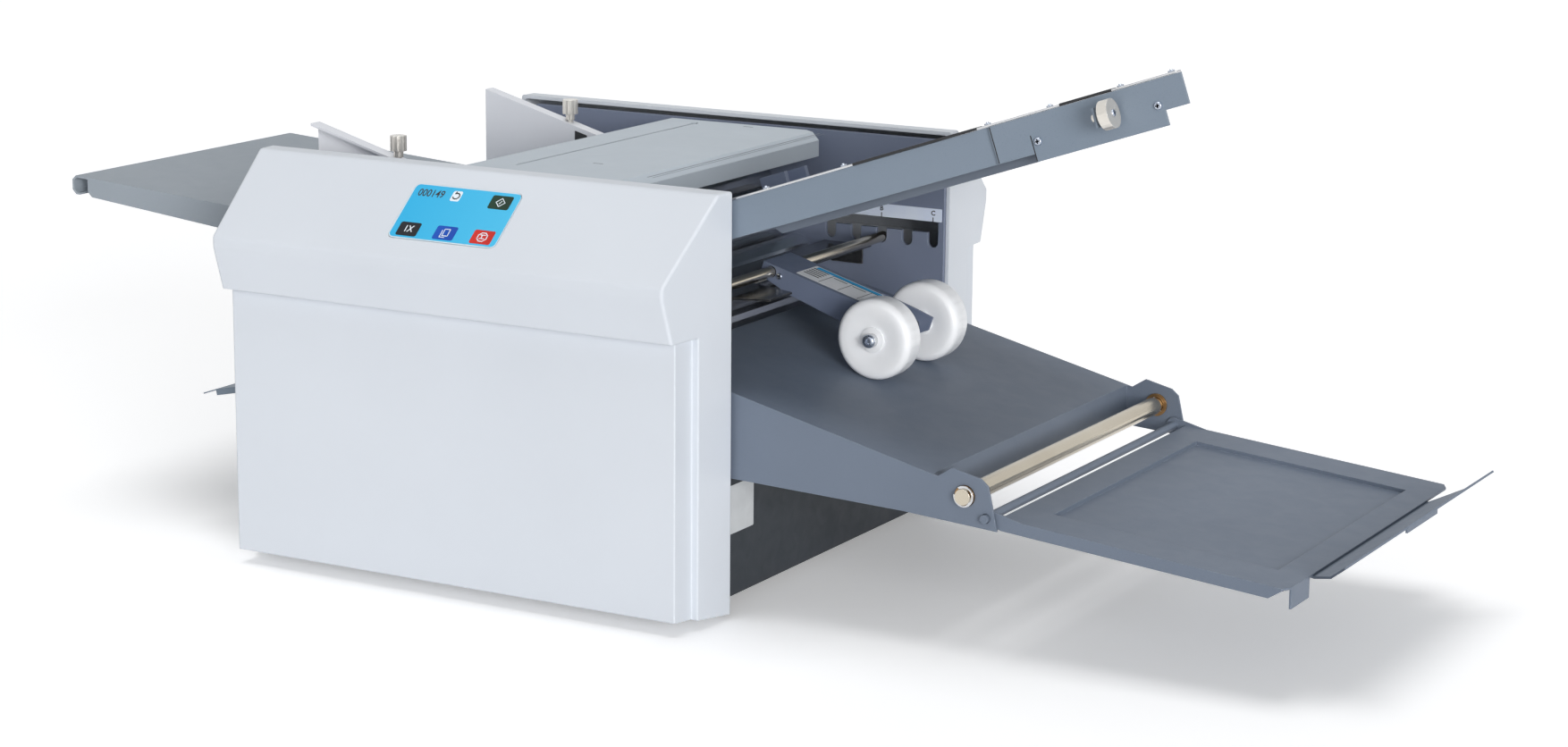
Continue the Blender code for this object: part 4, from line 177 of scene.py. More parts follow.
# Position strip on the rear frame plate
STRIP_X = (-0.024, 0.0792)
STRIP_Z = (0.2308, 0.2409)
STRIP_Y = 0.1605
STRIP_THICKNESS = 0.0006
STRIP_CORNER = 0.0006
TICK_RISE = (0.0002, 0.0030)
LETTER_HEIGHT = 0.0052
LETTER_BOLD = 0.00012
LETTER_Z = 0.2373
LETTER_PLACES = (("A", -0.0167), ("B", 0.0277), ("C", 0.0721))


def linear(red, green, blue):
    """Linear colour of a display colour given in 0 to 255 steps."""
    def channel(value):
        share = value / 255
        return share / 12.92 if share <= 0.04045 else ((share + 0.055) / 1.055) ** 2.4
    return (channel(red), channel(green), channel(blue), 1.0)


def add_node(tree, kind, **settings):
    """New shader node with its settings."""
    made = tree.nodes.new(kind)
    for key, value in settings.items():
        setattr(made, key, value)
    return made


def noise(tree, source, scale, detail, distortion=0.0):
    """Output of a noise texture read at the source's coordinates."""
    made = add_node(tree, "ShaderNodeTexNoise")
    made.inputs["Scale"].default_value = scale
    made.inputs["Detail"].default_value = detail
    made.inputs["Distortion"].default_value = distortion
    tree.links.new(source, made.inputs["Vector"])
    return made.outputs["Fac"]


def spread(tree, source, low, high, out_low, out_high):
    """Value carried from the range low to high into out_low to out_high."""
    made = add_node(tree, "ShaderNodeMapRange")
    made.inputs["From Min"].default_value = low
    made.inputs["From Max"].default_value = high
    made.inputs["To Min"].default_value = out_low
    made.inputs["To Max"].default_value = out_high
    tree.links.new(source, made.inputs["Value"])
    return made.outputs["Result"]


def blend_colours(tree, factor, first, second):
    """Mix of two colours; each is a colour value or another node's output."""
    made = add_node(tree, "ShaderNodeMix", data_type="RGBA")
    tree.links.new(factor, made.inputs["Factor"])
    for socket, value in (("A", first), ("B", second)):
        target = [entry for entry in made.inputs if entry.name == socket and entry.type == "RGBA"][0]
        if isinstance(value, tuple):
            target.default_value = value
        else:
            tree.links.new(value, target)
    return [entry for entry in made.outputs if entry.type == "RGBA"][0]


def edge_mask(tree, rounded, source):
    """White along edges that stick out or in, broken up by fine noise."""
    flat = add_node(tree, "ShaderNodeNewGeometry")
    dot = add_node(tree, "ShaderNodeVectorMath", operation="DOT_PRODUCT")
    tree.links.new(rounded.outputs["Normal"], dot.inputs[0])
    tree.links.new(flat.outputs["Normal"], dot.inputs[1])
    mask = spread(tree, dot.outputs["Value"], 0.995, 0.80, 0.0, 1.0)
    broken = spread(tree, noise(tree, source, 260.0, 3.0), 0.40, 0.62, 0.15, 1.0)
    product = add_node(tree, "ShaderNodeMath", operation="MULTIPLY")
    tree.links.new(mask, product.inputs[0])
    tree.links.new(broken, product.inputs[1])
    return product.outputs["Value"]


def surface(name, low, high, patch, grain, depth, bump, rough, metal=0.0, edge=None, reach=0.0008,
            stretch=(1.0, 1.0, 1.0), coat=0.0, soft=0.0, specks=None, shine=0.5):
    """Procedural finish: patchy colour, fine grain, uneven gloss and lighter edges: worn edges on most
    finishes, painted glints on glossy black.
    """
    material = bpy.data.materials.new(name)
    material.use_nodes = True
    tree = material.node_tree
    shader = tree.nodes["Principled BSDF"]
    coordinates = add_node(tree, "ShaderNodeTexCoord").outputs["Object"]
    mapping = add_node(tree, "ShaderNodeMapping")
    mapping.inputs["Scale"].default_value = stretch
    tree.links.new(coordinates, mapping.inputs["Vector"])
    grained = mapping.outputs["Vector"]
    patches = spread(tree, noise(tree, coordinates, patch, 4.0), 0.35, 0.65, 0.0, 1.0)
    colour = blend_colours(tree, patches, low, high)
    if specks:
        spots = spread(tree, noise(tree, coordinates, 1500.0, 1.0), 0.66, 0.72, 0.0, 1.0)
        colour = blend_colours(tree, spots, colour, specks)
    relief = add_node(tree, "ShaderNodeBump")
    if edge:
        rounded = add_node(tree, "ShaderNodeBevel", samples=4)
        rounded.inputs["Radius"].default_value = reach
        tree.links.new(rounded.outputs["Normal"], relief.inputs["Normal"])
        colour = blend_colours(tree, edge_mask(tree, rounded, coordinates), colour, edge)
    tree.links.new(colour, shader.inputs["Base Color"])
    gloss = spread(tree, noise(tree, grained, patch * 7, 6.0, 0.6), 0.35, 0.68, rough[0], rough[1])
    tree.links.new(gloss, shader.inputs["Roughness"])
    relief.inputs["Strength"].default_value = bump
    relief.inputs["Distance"].default_value = depth
    tree.links.new(noise(tree, grained, grain, 3.0), relief.inputs["Height"])
    tree.links.new(relief.outputs["Normal"], shader.inputs["Normal"])
    shader.inputs["Metallic"].default_value = metal
    shader.inputs["Specular IOR Level"].default_value = shine
    shader.inputs["Coat Weight"].default_value = coat
    shader.inputs["Coat Roughness"].default_value = 0.12
    shader.inputs["Subsurface Weight"].default_value = soft
    shader.inputs["Subsurface Radius"].default_value = (1.0, 1.0, 1.0)
    shader.inputs["Subsurface Scale"].default_value = 0.004
    return material


def glowing(name, low, high, axis, span, strength):
    """Lit picture whose colour runs from low to high along one object axis."""
    material = bpy.data.materials.new(name)
    material.use_nodes = True
    tree = material.node_tree
    shader = tree.nodes["Principled BSDF"]
    coordinates = add_node(tree, "ShaderNodeTexCoord").outputs["Object"]
    parts = add_node(tree, "ShaderNodeSeparateXYZ")
    tree.links.new(coordinates, parts.inputs["Vector"])
    along = spread(tree, parts.outputs[axis], -span / 2, span / 2, 0.0, 1.0)
    colour = blend_colours(tree, along, low, high)
    fine = spread(tree, noise(tree, coordinates, 2600.0, 1.0), 0.3, 0.7, 0.36, 0.44)
    tree.links.new(colour, shader.inputs["Base Color"])
    tree.links.new(colour, shader.inputs["Emission Color"])
    tree.links.new(fine, shader.inputs["Roughness"])
    shader.inputs["Emission Strength"].default_value = strength
    shader.inputs["Specular IOR Level"].default_value = 0.25
    return material


def make_finishes():
    """Every finish by name; those of the CAD slots carry the slot's name."""
    made = {}
    made["cover_plastic"] = surface(
        "cover_plastic", linear(207, 212, 219), linear(210, 215, 222), patch=6.0, grain=1500.0, depth=0.00005,
        bump=0.16, rough=(0.38, 0.44), edge=linear(224, 228, 233), reach=0.0012)
    made["painted_sheet"] = surface(
        "painted_sheet", linear(121, 134, 148), linear(125, 137, 151), patch=9.0, grain=1100.0, depth=0.00007,
        bump=0.28, rough=(0.44, 0.50), edge=linear(158, 168, 178), reach=0.0007, specks=linear(115, 127, 141),
        shine=0.35)
    made["chute_paint"] = surface(
        "chute_paint", linear(106, 116, 131), linear(110, 120, 135), patch=9.0, grain=1100.0, depth=0.00007,
        bump=0.28, rough=(0.46, 0.52), edge=linear(146, 156, 168), reach=0.0007, specks=linear(101, 111, 126),
        shine=0.30)
    # Darker copy of the sheet paint: painted shade for the fold plate's channel, which sits in the plate's
    # shadow, and for the strokes of the lid's marks and slot
    made["painted_shade"] = surface(
        "painted_shade", linear(90, 99, 112), linear(96, 105, 118), patch=9.0, grain=1100.0, depth=0.00007,
        bump=0.28, rough=(0.40, 0.46), edge=linear(128, 138, 150), reach=0.0007)
    made["lid_paint"] = surface(
        "lid_paint", linear(186, 195, 203), linear(190, 199, 207), patch=8.0, grain=1200.0, depth=0.00006,
        bump=0.22, rough=(0.44, 0.50), edge=linear(208, 215, 221), reach=0.0009, shine=0.22)
    made["dark_paint"] = surface(
        "dark_paint", linear(106, 116, 138), linear(110, 120, 142), patch=12.0, grain=1100.0, depth=0.00007,
        bump=0.28, rough=(0.40, 0.47), edge=linear(130, 140, 156), reach=0.0007)
    made["inner_paint"] = surface(
        "inner_paint", linear(118, 127, 148), linear(122, 131, 152), patch=9.0, grain=1100.0, depth=0.00007,
        bump=0.28, rough=(0.40, 0.47), edge=linear(140, 150, 160), reach=0.0007)
    made["tray_paint"] = surface(
        "tray_paint", linear(146, 154, 162), linear(150, 158, 166), patch=7.0, grain=1100.0, depth=0.00007,
        bump=0.26, rough=(0.46, 0.52), edge=linear(178, 185, 192), reach=0.0007, specks=linear(140, 148, 156),
        shine=0.22)
    # Dark paint of the base pan, darkened further as painted shade for the shadow the pan sits in
    made["pan_paint"] = surface(
        "pan_paint", linear(38, 44, 51), linear(43, 49, 56), patch=10.0, grain=1000.0, depth=0.00008,
        bump=0.30, rough=(0.50, 0.60), edge=linear(80, 86, 94), reach=0.0008)
    made["guide_paint"] = surface(
        "guide_paint", linear(220, 222, 228), linear(224, 226, 231), patch=16.0, grain=1800.0, depth=0.00002,
        bump=0.10, rough=(0.32, 0.38), metal=0.15, edge=linear(226, 227, 230), reach=0.0005)
    made["wheel_nylon"] = surface(
        "wheel_nylon", linear(248, 250, 253), linear(252, 253, 255), patch=30.0, grain=1600.0, depth=0.00002,
        bump=0.10, rough=(0.28, 0.34), soft=0.35, coat=0.25)
    made["rubber"] = surface(
        "rubber", linear(28, 28, 30), linear(40, 40, 42), patch=40.0, grain=1500.0, depth=0.00010,
        bump=0.40, rough=(0.62, 0.80), edge=linear(60, 60, 62), reach=0.0006)
    made["black_plastic"] = surface(
        "black_plastic", linear(26, 27, 30), linear(36, 37, 40), patch=30.0, grain=1500.0, depth=0.00006,
        bump=0.25, rough=(0.34, 0.48), edge=linear(66, 67, 70), reach=0.0004)
    made["board_green"] = surface(
        "board_green", linear(20, 84, 56), linear(30, 104, 70), patch=60.0, grain=900.0, depth=0.00008,
        bump=0.3, rough=(0.3, 0.5), coat=0.3, specks=linear(196, 186, 130))
    made["bright_steel"] = surface(
        "bright_steel", linear(208, 209, 211), linear(216, 217, 219), patch=12.0, grain=1400.0, depth=0.00001,
        bump=0.12, rough=(0.20, 0.27), metal=1.0, edge=linear(226, 226, 224), reach=0.0004,
        stretch=(3.0, 0.2, 3.0))
    # The light edge colour of the glossy black is a painted highlight: glints along its edges
    made["gloss_black"] = surface(
        "gloss_black", linear(24, 25, 28), linear(32, 33, 36), patch=20.0, grain=1500.0, depth=0.00002,
        bump=0.12, rough=(0.16, 0.24), edge=linear(150, 148, 142), reach=0.0006, coat=0.4)
    made["shaft_steel"] = surface(
        "shaft_steel", linear(200, 190, 172), linear(210, 201, 184), patch=12.0, grain=1400.0, depth=0.00001,
        bump=0.12, rough=(0.20, 0.27), metal=1.0, edge=linear(228, 222, 208), reach=0.0004,
        stretch=(3.0, 0.2, 3.0))
    made["nickel"] = surface(
        "nickel", linear(222, 217, 209), linear(230, 226, 219), patch=30.0, grain=1800.0, depth=0.00001,
        bump=0.10, rough=(0.20, 0.27), metal=0.62, edge=linear(236, 234, 230), reach=0.0004)
    made["zinc"] = surface(
        "zinc", linear(176, 184, 198), linear(192, 199, 211), patch=90.0, grain=1300.0, depth=0.00003,
        bump=0.2, rough=(0.24, 0.40), metal=1.0, edge=linear(224, 226, 230), reach=0.0003)
    made["bearing_bronze"] = surface(
        "bearing_bronze", linear(150, 116, 78), linear(176, 140, 98), patch=60.0, grain=1400.0, depth=0.00005,
        bump=0.3, rough=(0.30, 0.46), metal=1.0, edge=linear(204, 172, 130), reach=0.0003)
    made["screen_frame"] = surface(
        "screen_frame", linear(206, 222, 230), linear(214, 229, 236), patch=40.0, grain=900.0, depth=0.00002,
        bump=0.08, rough=(0.14, 0.22), coat=0.4)
    # Darker copy of the bright steel: painted shade for the fold plate grid, which lies in the lid's shadow
    made["painted_shade_steel"] = surface(
        "painted_shade_steel", linear(112, 114, 118), linear(122, 124, 128), patch=12.0, grain=1400.0, depth=0.00001,
        bump=0.12, rough=(0.24, 0.30), metal=0.8, edge=linear(140, 140, 144), reach=0.0004,
        stretch=(3.0, 0.2, 3.0))
    made["strip_white"] = surface(
        "strip_white", linear(226, 236, 255), linear(232, 241, 255), patch=60.0, grain=2200.0, depth=0.00002,
        bump=0.12, rough=(0.40, 0.52))
    made["label_white"] = surface(
        "label_white", linear(232, 234, 236), linear(240, 241, 243), patch=60.0, grain=2200.0, depth=0.00002,
        bump=0.12, rough=(0.40, 0.52))
    made["plate_silver"] = surface(
        "plate_silver", linear(205, 208, 210), linear(218, 221, 223), patch=40.0, grain=1800.0, depth=0.00002,
        bump=0.15, rough=(0.30, 0.42), metal=0.3)
    made["ink_black"] = surface(
        "ink_black", linear(20, 21, 24), linear(30, 31, 34), patch=90.0, grain=2400.0, depth=0.00001,
        bump=0.1, rough=(0.45, 0.6))
    made["ink_cyan"] = surface(
        "ink_cyan", linear(30, 158, 214), linear(44, 170, 222), patch=90.0, grain=2400.0, depth=0.00001,
        bump=0.1, rough=(0.40, 0.55))
    made["screen_face"] = glowing(
        "screen_face", linear(48, 172, 220), linear(72, 184, 226), "X", PICTURE_SIZE[0], 0.02)
    made["key_green"] = glowing("key_green", linear(12, 50, 30), linear(8, 40, 24), "X", KEY_SIZE[0], 0.02)
    made["key_black"] = glowing("key_black", linear(14, 18, 26), linear(10, 13, 20), "X", KEY_SIZE[0], 0.02)
    made["key_blue"] = glowing("key_blue", linear(14, 78, 176), linear(8, 66, 162), "X", KEY_SIZE[0], 0.03)
    made["key_red"] = glowing("key_red", linear(200, 44, 32), linear(186, 34, 24), "X", KEY_SIZE[0], 0.03)
    made["picture_white"] = glowing(
        "picture_white", linear(226, 234, 240), linear(218, 228, 236), "X", KEY_SIZE[0], 0.05)
    return made


FINISHES = make_finishes()
NODE_FINISHES = {
    "rear_frame_plate": "inner_paint", "front_frame_plate": "inner_paint", "infeed_tray": "tray_paint",
    "touch_screen": "screen_frame", "stop_knob": "nickel", "front_guide_knob": "nickel",
    # The fold plate grid takes the painted shade steel
    "rear_guide_knob": "nickel", "fold_plate_grid": "painted_shade_steel", "exit_chute": "chute_paint",
    # The channel under the fold plate takes the painted shade paint
    "fold_plate_channel": "painted_shade", "fold_plate_latch": "dark_paint", "exit_guide": "gloss_black",
    "tray_roller": "shaft_steel", "wheel_shaft": "shaft_steel",
    "extension_tray": "chute_paint", "tray_end_lip": "chute_paint"}


def finish_nodes():
    """Gives every CAD node its detailed finish."""
    for name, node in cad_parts.items():
        for index, material in enumerate(node.data.materials):
            slot = material.name.split(".")[0]
            node.data.materials[index] = FINISHES[NODE_FINISHES.get(name, slot)]


def face_matrix(place, across, outward):
    """Matrix at a place with local x along across and local z along outward."""
    z = Vector(outward).normalized()
    x = (Vector(across) - z * Vector(across).dot(z)).normalized()
    y = z.cross(x)
    matrix = Matrix.Identity(4)
    for index, column in enumerate((x, y, z, Vector(place))):
        for row in range(3):
            matrix[row][index] = column[row]
    return matrix


def shifted(matrix, place, lift=0.0):
    """Matrix moved along its own plane and lifted off it."""
    return matrix @ Matrix.Translation((place[0], place[1], lift))


def add_piece(name, mesh, matrix, finish, body, smooth=False):
    """Object of a bmesh, put at a matrix and riding on a CAD body."""
    bmesh.ops.recalc_face_normals(mesh, faces=mesh.faces)
    data = bpy.data.meshes.new(name)
    mesh.to_mesh(data)
    mesh.free()
    for polygon in data.polygons:
        polygon.use_smooth = smooth
    data.materials.append(FINISHES[finish])
    piece = bpy.data.objects.new(name, data)
    bpy.context.scene.collection.objects.link(piece)
    if smooth:
        data.set_sharp_from_angle(angle=SMOOTH_ANGLE)
    piece.matrix_world = matrix
    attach(piece, body)
    return piece


def rounded_outline(width, height, corner):
    """Points round a rectangle with rounded corners, about its middle."""
    points = []
    for x_side, y_side, start in ((1, 1, 0.0), (-1, 1, 0.5), (-1, -1, 1.0), (1, -1, 1.5)):
        for step in range(CORNER_STEPS + 1):
            angle = math.pi * (start + 0.5 * step / CORNER_STEPS)
            points.append((x_side * (width / 2 - corner) + corner * math.cos(angle),
                           y_side * (height / 2 - corner) + corner * math.sin(angle)))
    return points


def plate_mesh(outline, thickness, chamfer=0.0):
    """Flat plate of an outline with its upper edge chamfered."""
    mesh = bmesh.new()
    bottom = [mesh.verts.new((x, y, 0.0)) for x, y in outline]
    low = mesh.faces.new(bottom)
    grown = bmesh.ops.extrude_face_region(mesh, geom=[low])
    upper = [entry for entry in grown["geom"] if isinstance(entry, bmesh.types.BMVert)]
    bmesh.ops.translate(mesh, verts=upper, vec=(0, 0, thickness))
    if chamfer:
        edges = [edge for edge in mesh.edges if all(vert in upper for vert in edge.verts)]
        bmesh.ops.bevel(mesh, geom=edges, offset=chamfer, segments=2, profile=0.5, affect="EDGES")
    return mesh


def tile(name, size, corner, matrix, finish, body, thickness=LABEL_THICKNESS, offset=(0.0, 0.0)):
    """Thin rounded plate lying on a face, shifted by offset within it."""
    outline = rounded_outline(size[0], size[1], corner)
    mesh = plate_mesh(outline, thickness, min(thickness, corner) * LABEL_CHAMFER)
    return add_piece(name, mesh, shifted(matrix, offset), finish, body)


def strokes(name, lines, width, matrix, finish, body):
    """Printed straight strokes, each given by its two ends in the face's plane."""
    mesh = bmesh.new()
    for start, end in lines:
        first, last = Vector(start), Vector(end)
        along = (last - first).normalized() * width / 2
        side = Vector((-along.y, along.x))
        corners = [first - along - side, last + along - side, last + along + side, first - along + side]
        low = mesh.faces.new([mesh.verts.new((point.x, point.y, 0.0)) for point in corners])
        grown = bmesh.ops.extrude_face_region(mesh, geom=[low])
        upper = [entry for entry in grown["geom"] if isinstance(entry, bmesh.types.BMVert)]
        bmesh.ops.translate(mesh, verts=upper, vec=(0, 0, HAIR))
    return add_piece(name, mesh, matrix, finish, body)


def words(name, text, height, matrix, finish, body, offset, width=1.0, bold=0.0):
    """Printed characters as a thin raised mesh, centred on the offset."""
    curve = bpy.data.curves.new(name + "_curve", "FONT")
    curve.body = text
    curve.size = height
    curve.extrude = HAIR / 2
    curve.offset = bold
    curve.align_x = "CENTER"
    curve.align_y = "CENTER"
    curve.resolution_u = 3
    holder = bpy.data.objects.new(name + "_curve", curve)
    bpy.context.scene.collection.objects.link(holder)
    flat = bpy.data.meshes.new_from_object(holder)
    mesh = bmesh.new()
    mesh.from_mesh(flat)
    bpy.data.objects.remove(holder)
    bpy.data.meshes.remove(flat)
    bmesh.ops.scale(mesh, vec=(width, 1.0, 1.0), verts=mesh.verts)
    return add_piece(name, mesh, shifted(matrix, offset, HAIR / 2), finish, body)


def ring_of(mesh, radius, z, sides):
    """Ring of vertices about local z at one height."""
    step = 2 * math.pi / sides
    return [mesh.verts.new((radius * math.cos(step * index), radius * math.sin(step * index), z))
            for index in range(sides)]


def skin(mesh, first, second):
    """Side faces between two rings of the same count."""
    count = len(first)
    for index in range(count):
        after = (index + 1) % count
        mesh.faces.new((first[index], first[after], second[after], second[index]))


def lathe(stations, sides):
    """Turned solid about local z; stations are (radius, z) from bottom to top."""
    mesh = bmesh.new()
    rings = [ring_of(mesh, radius, z, sides) for radius, z in stations]
    mesh.faces.new(list(reversed(rings[0])))
    for lower, upper in zip(rings, rings[1:]):
        skin(mesh, lower, upper)
    mesh.faces.new(rings[-1])
    return mesh


def cross_outline(reach, width):
    """Outline of a cross recess."""
    a, b = reach, width / 2
    return [(a, -b), (a, b), (b, b), (b, a), (-b, a), (-b, b),
            (-a, b), (-a, -b), (-b, -b), (-b, -a), (b, -a), (b, -b)]


def hexagon(reach):
    """Corners of a hexagon; reach is from its middle to a corner."""
    return [(reach * math.cos(math.pi * step / 3), reach * math.sin(math.pi * step / 3))
            for step in range(6)]


def driven_head(radius, height, recess, depth):
    """Domed screw head with a recess cut into its top."""
    mesh = bmesh.new()
    stations = [(radius * 0.96, 0.0), (radius, height * 0.18), (radius * 0.97, height * 0.45),
                (radius * 0.88, height * 0.78), (radius * 0.72, height)]
    rings = [ring_of(mesh, reach, z, TURN_SIDES) for reach, z in stations]
    mesh.faces.new(list(reversed(rings[0])))
    for lower, upper in zip(rings, rings[1:]):
        skin(mesh, lower, upper)
    rim = [mesh.verts.new((x, y, height)) for x, y in recess]
    pit = [mesh.verts.new((x * 0.8, y * 0.8, height - depth)) for x, y in recess]
    rim_edges = [mesh.edges.new((rim[index], rim[(index + 1) % len(rim)])) for index in range(len(rim))]
    top = [edge for edge in mesh.edges if all(vert in rings[-1] for vert in edge.verts)]
    bmesh.ops.bridge_loops(mesh, edges=top + rim_edges)
    skin(mesh, rim, pit)
    mesh.faces.new(pit)
    return mesh


def screw(name, place, outward, body, radius, height, kind="cross"):
    """Screw head standing on a face."""
    across = (math.cos(HEAD_TURN), math.sin(HEAD_TURN) * 0.5, math.sin(HEAD_TURN))
    if kind == "cross":
        recess = cross_outline(radius * 0.56, radius * 0.24)
    else:
        recess = hexagon(radius * 0.46)
    mesh = driven_head(radius, height, recess, height * 0.6)
    matrix = face_matrix(place, across, outward)
    return add_piece(name, mesh, matrix, "zinc", body, smooth=True)


def retaining_clip(name, place, outward, body):
    """Spring clip, open at one side, pressed on a shaft."""
    span = 2 * math.pi - 2 * CLIP_GAP
    outline = []
    for index in range(CLIP_STEPS + 1):
        angle = CLIP_GAP + span * index / CLIP_STEPS
        outline.append((CLIP_RADIUS * math.cos(angle), CLIP_RADIUS * math.sin(angle)))
    for index in range(CLIP_STEPS, -1, -1):
        angle = CLIP_GAP + span * index / CLIP_STEPS
        wave = CLIP_GROOVE * (1.0 + 0.22 * (0.5 - 0.5 * math.cos(3 * (angle - math.pi))))
        outline.append((wave * math.cos(angle), wave * math.sin(angle)))
    mesh = plate_mesh(outline, CLIP_THICKNESS)
    matrix = face_matrix(place, (math.cos(CLIP_TURN), 0.0, math.sin(CLIP_TURN)), outward)
    return add_piece(name, mesh, matrix, "bright_steel", body)


def centre_of(node):
    """Middle of a CAD node's box."""
    low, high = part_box(node)
    return (Vector(low) + Vector(high)) / 2


def fold_point(along, across, up):
    """Point given along, across and above the upper fold plate."""
    cosine, sine = math.cos(FOLD_PITCH), math.sin(FOLD_PITCH)
    return Vector(FOLD_PLACE) + Vector((along * cosine - up * sine, across, along * sine + up * cosine))


def closed(points):
    """Strokes round a closed outline."""
    return list(zip(points, points[1:] + points[:1]))


def reset_arrow():
    """Open ring of strokes that ends in an arrow head."""
    lines = []
    for step in range(ARROW_STEPS):
        angles = [math.radians(ARROW_START + ARROW_TURN * index) for index in (step, step + 1)]
        lines.append([(ARROW_REACH * math.cos(angle), ARROW_REACH * math.sin(angle)) for angle in angles])
    tip = lines[-1][1]
    return lines + [(tip, (tip[0] + 0.0003, tip[1] + 0.0015)), (tip, (tip[0] + 0.0015, tip[1] + 0.0003))]


def octagon():
    """Corners of an octagon with level sides."""
    angles = [math.pi * (step + 0.5) / 4 for step in range(8)]
    return [(OCTAGON_REACH * math.cos(angle), OCTAGON_REACH * math.sin(angle)) for angle in angles]


def build_screen():
    """Lit picture with a counter and five keys on the touch screen."""
    outward = (0.0, -math.sin(SCREEN_ANGLE), math.cos(SCREEN_ANGLE))
    face = face_matrix(SCREEN_PLACE, (1.0, 0.0, 0.0), outward)
    raised = face @ Matrix.Translation((0.0, 0.0, SCREEN_LIFT))
    tile("screen_picture", PICTURE_SIZE, PICTURE_CORNER, raised, "screen_face", "chassis",
         offset=PICTURE_SHIFT)
    above = raised @ Matrix.Translation((0.0, 0.0, LABEL_THICKNESS))
    words("screen_counter", "000149", COUNTER_HEIGHT, above, "ink_black", "chassis", offset=COUNTER_PLACE,
          width=TEXT_WIDTH, bold=COUNTER_BOLD)
    for name, size, finish, place in (
            ("screen_reset_key", RESET_SIZE, "picture_white", RESET_PLACE),
            ("screen_start_key", KEY_SIZE, "key_green", START_PLACE),
            ("screen_single_key", KEY_SIZE, "key_black", SINGLE_PLACE),
            ("screen_copy_key", KEY_SIZE, "key_blue", COPY_PLACE),
            ("screen_stop_key", KEY_SIZE, "key_red", STOP_PLACE)):
        tile(name, size, KEY_CORNER, above, finish, "chassis", offset=place)
    marks = above @ Matrix.Translation((0.0, 0.0, LABEL_THICKNESS))
    words("screen_single_text", "1X", KEY_TEXT_HEIGHT, marks, "picture_white", "chassis",
          offset=SINGLE_PLACE, width=TEXT_WIDTH, bold=KEY_TEXT_BOLD)
    for name, lines, width, place, finish in (
            ("screen_reset_mark", reset_arrow(), 0.0009, RESET_PLACE, "ink_black"),
            ("screen_start_mark", closed(DIAMOND) + DIAMOND_SIGN, 0.0006, START_PLACE, "picture_white"),
            ("screen_copy_mark", closed(PAGE) + PAGE_BEHIND, 0.0006, COPY_PLACE, "picture_white"),
            ("screen_stop_mark", closed(octagon()) + STOP_SIGN, 0.0007, STOP_PLACE, "picture_white")):
        strokes(name, lines, width, shifted(marks, place), finish, "chassis")


def build_position_strip():
    """White strip with the letters of the shaft positions."""
    width = STRIP_X[1] - STRIP_X[0]
    height = STRIP_Z[1] - STRIP_Z[0]
    middle = ((STRIP_X[0] + STRIP_X[1]) / 2, STRIP_Y, (STRIP_Z[0] + STRIP_Z[1]) / 2)
    face = face_matrix(middle, (1.0, 0.0, 0.0), (0.0, -1.0, 0.0))
    tile("position_strip", (width, height), STRIP_CORNER, face, "strip_white", "chassis",
         thickness=STRIP_THICKNESS)
    top = face @ Matrix.Translation((0.0, 0.0, STRIP_THICKNESS))
    ticks = []
    for letter, x in LETTER_PLACES:
        offset = (x - middle[0], LETTER_Z - middle[2])
        words("position_letter_" + letter, letter, LETTER_HEIGHT, top, "ink_black", "chassis", offset=offset,
              bold=LETTER_BOLD)
        ticks.append([(offset[0], -height / 2 + rise) for rise in TICK_RISE])
    strokes("position_ticks", ticks, 0.0007, top, "ink_black", "chassis")


def dashes(span, rows, pitch):
    """Rows of short printed dashes that stand for lines of small print."""
    start, end = span
    count = int((end - start) / pitch)
    return [((start + pitch * index, y), (start + pitch * (index + DASH_SHARE), y))
            for y in rows for index in range(count)]


def build_wheel_faces():
    """Smooth treads and dished faces of the two exit wheels."""
    for label in ("front", "rear"):
        node = label + "_exit_wheel"
        low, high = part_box(node)
        middle = centre_of(node)
        half = (high[1] - low[1]) / 2
        radius = (high[0] - low[0]) / 2 + WHEEL_SKIN
        shoulder = WHEEL_ROUND + WHEEL_SKIN
        stations = [(radius - WHEEL_ROUND, 0.0), (radius, 0.0)]
        for step in range(WHEEL_STEPS + 1):
            angle = math.pi / 2 * step / WHEEL_STEPS
            stations.append((radius - shoulder + shoulder * math.cos(angle),
                             half - WHEEL_ROUND + shoulder * math.sin(angle)))
        for share in WHEEL_FACE_SHARES:
            dip = WHEEL_DISH * math.cos(math.pi / 2 * share) ** 2
            stations.append(((radius - shoulder) * share, half + WHEEL_SKIN - dip))
        for side, name in ((-1, "outer"), (1, "inner")):
            matrix = face_matrix(middle, (1.0, 0.0, 0.0), (0.0, side, 0.0))
            add_piece(f"{label}_wheel_{name}_face", lathe(stations, WHEEL_SIDES), matrix, "wheel_nylon",
                      label + "_wheel", smooth=True)


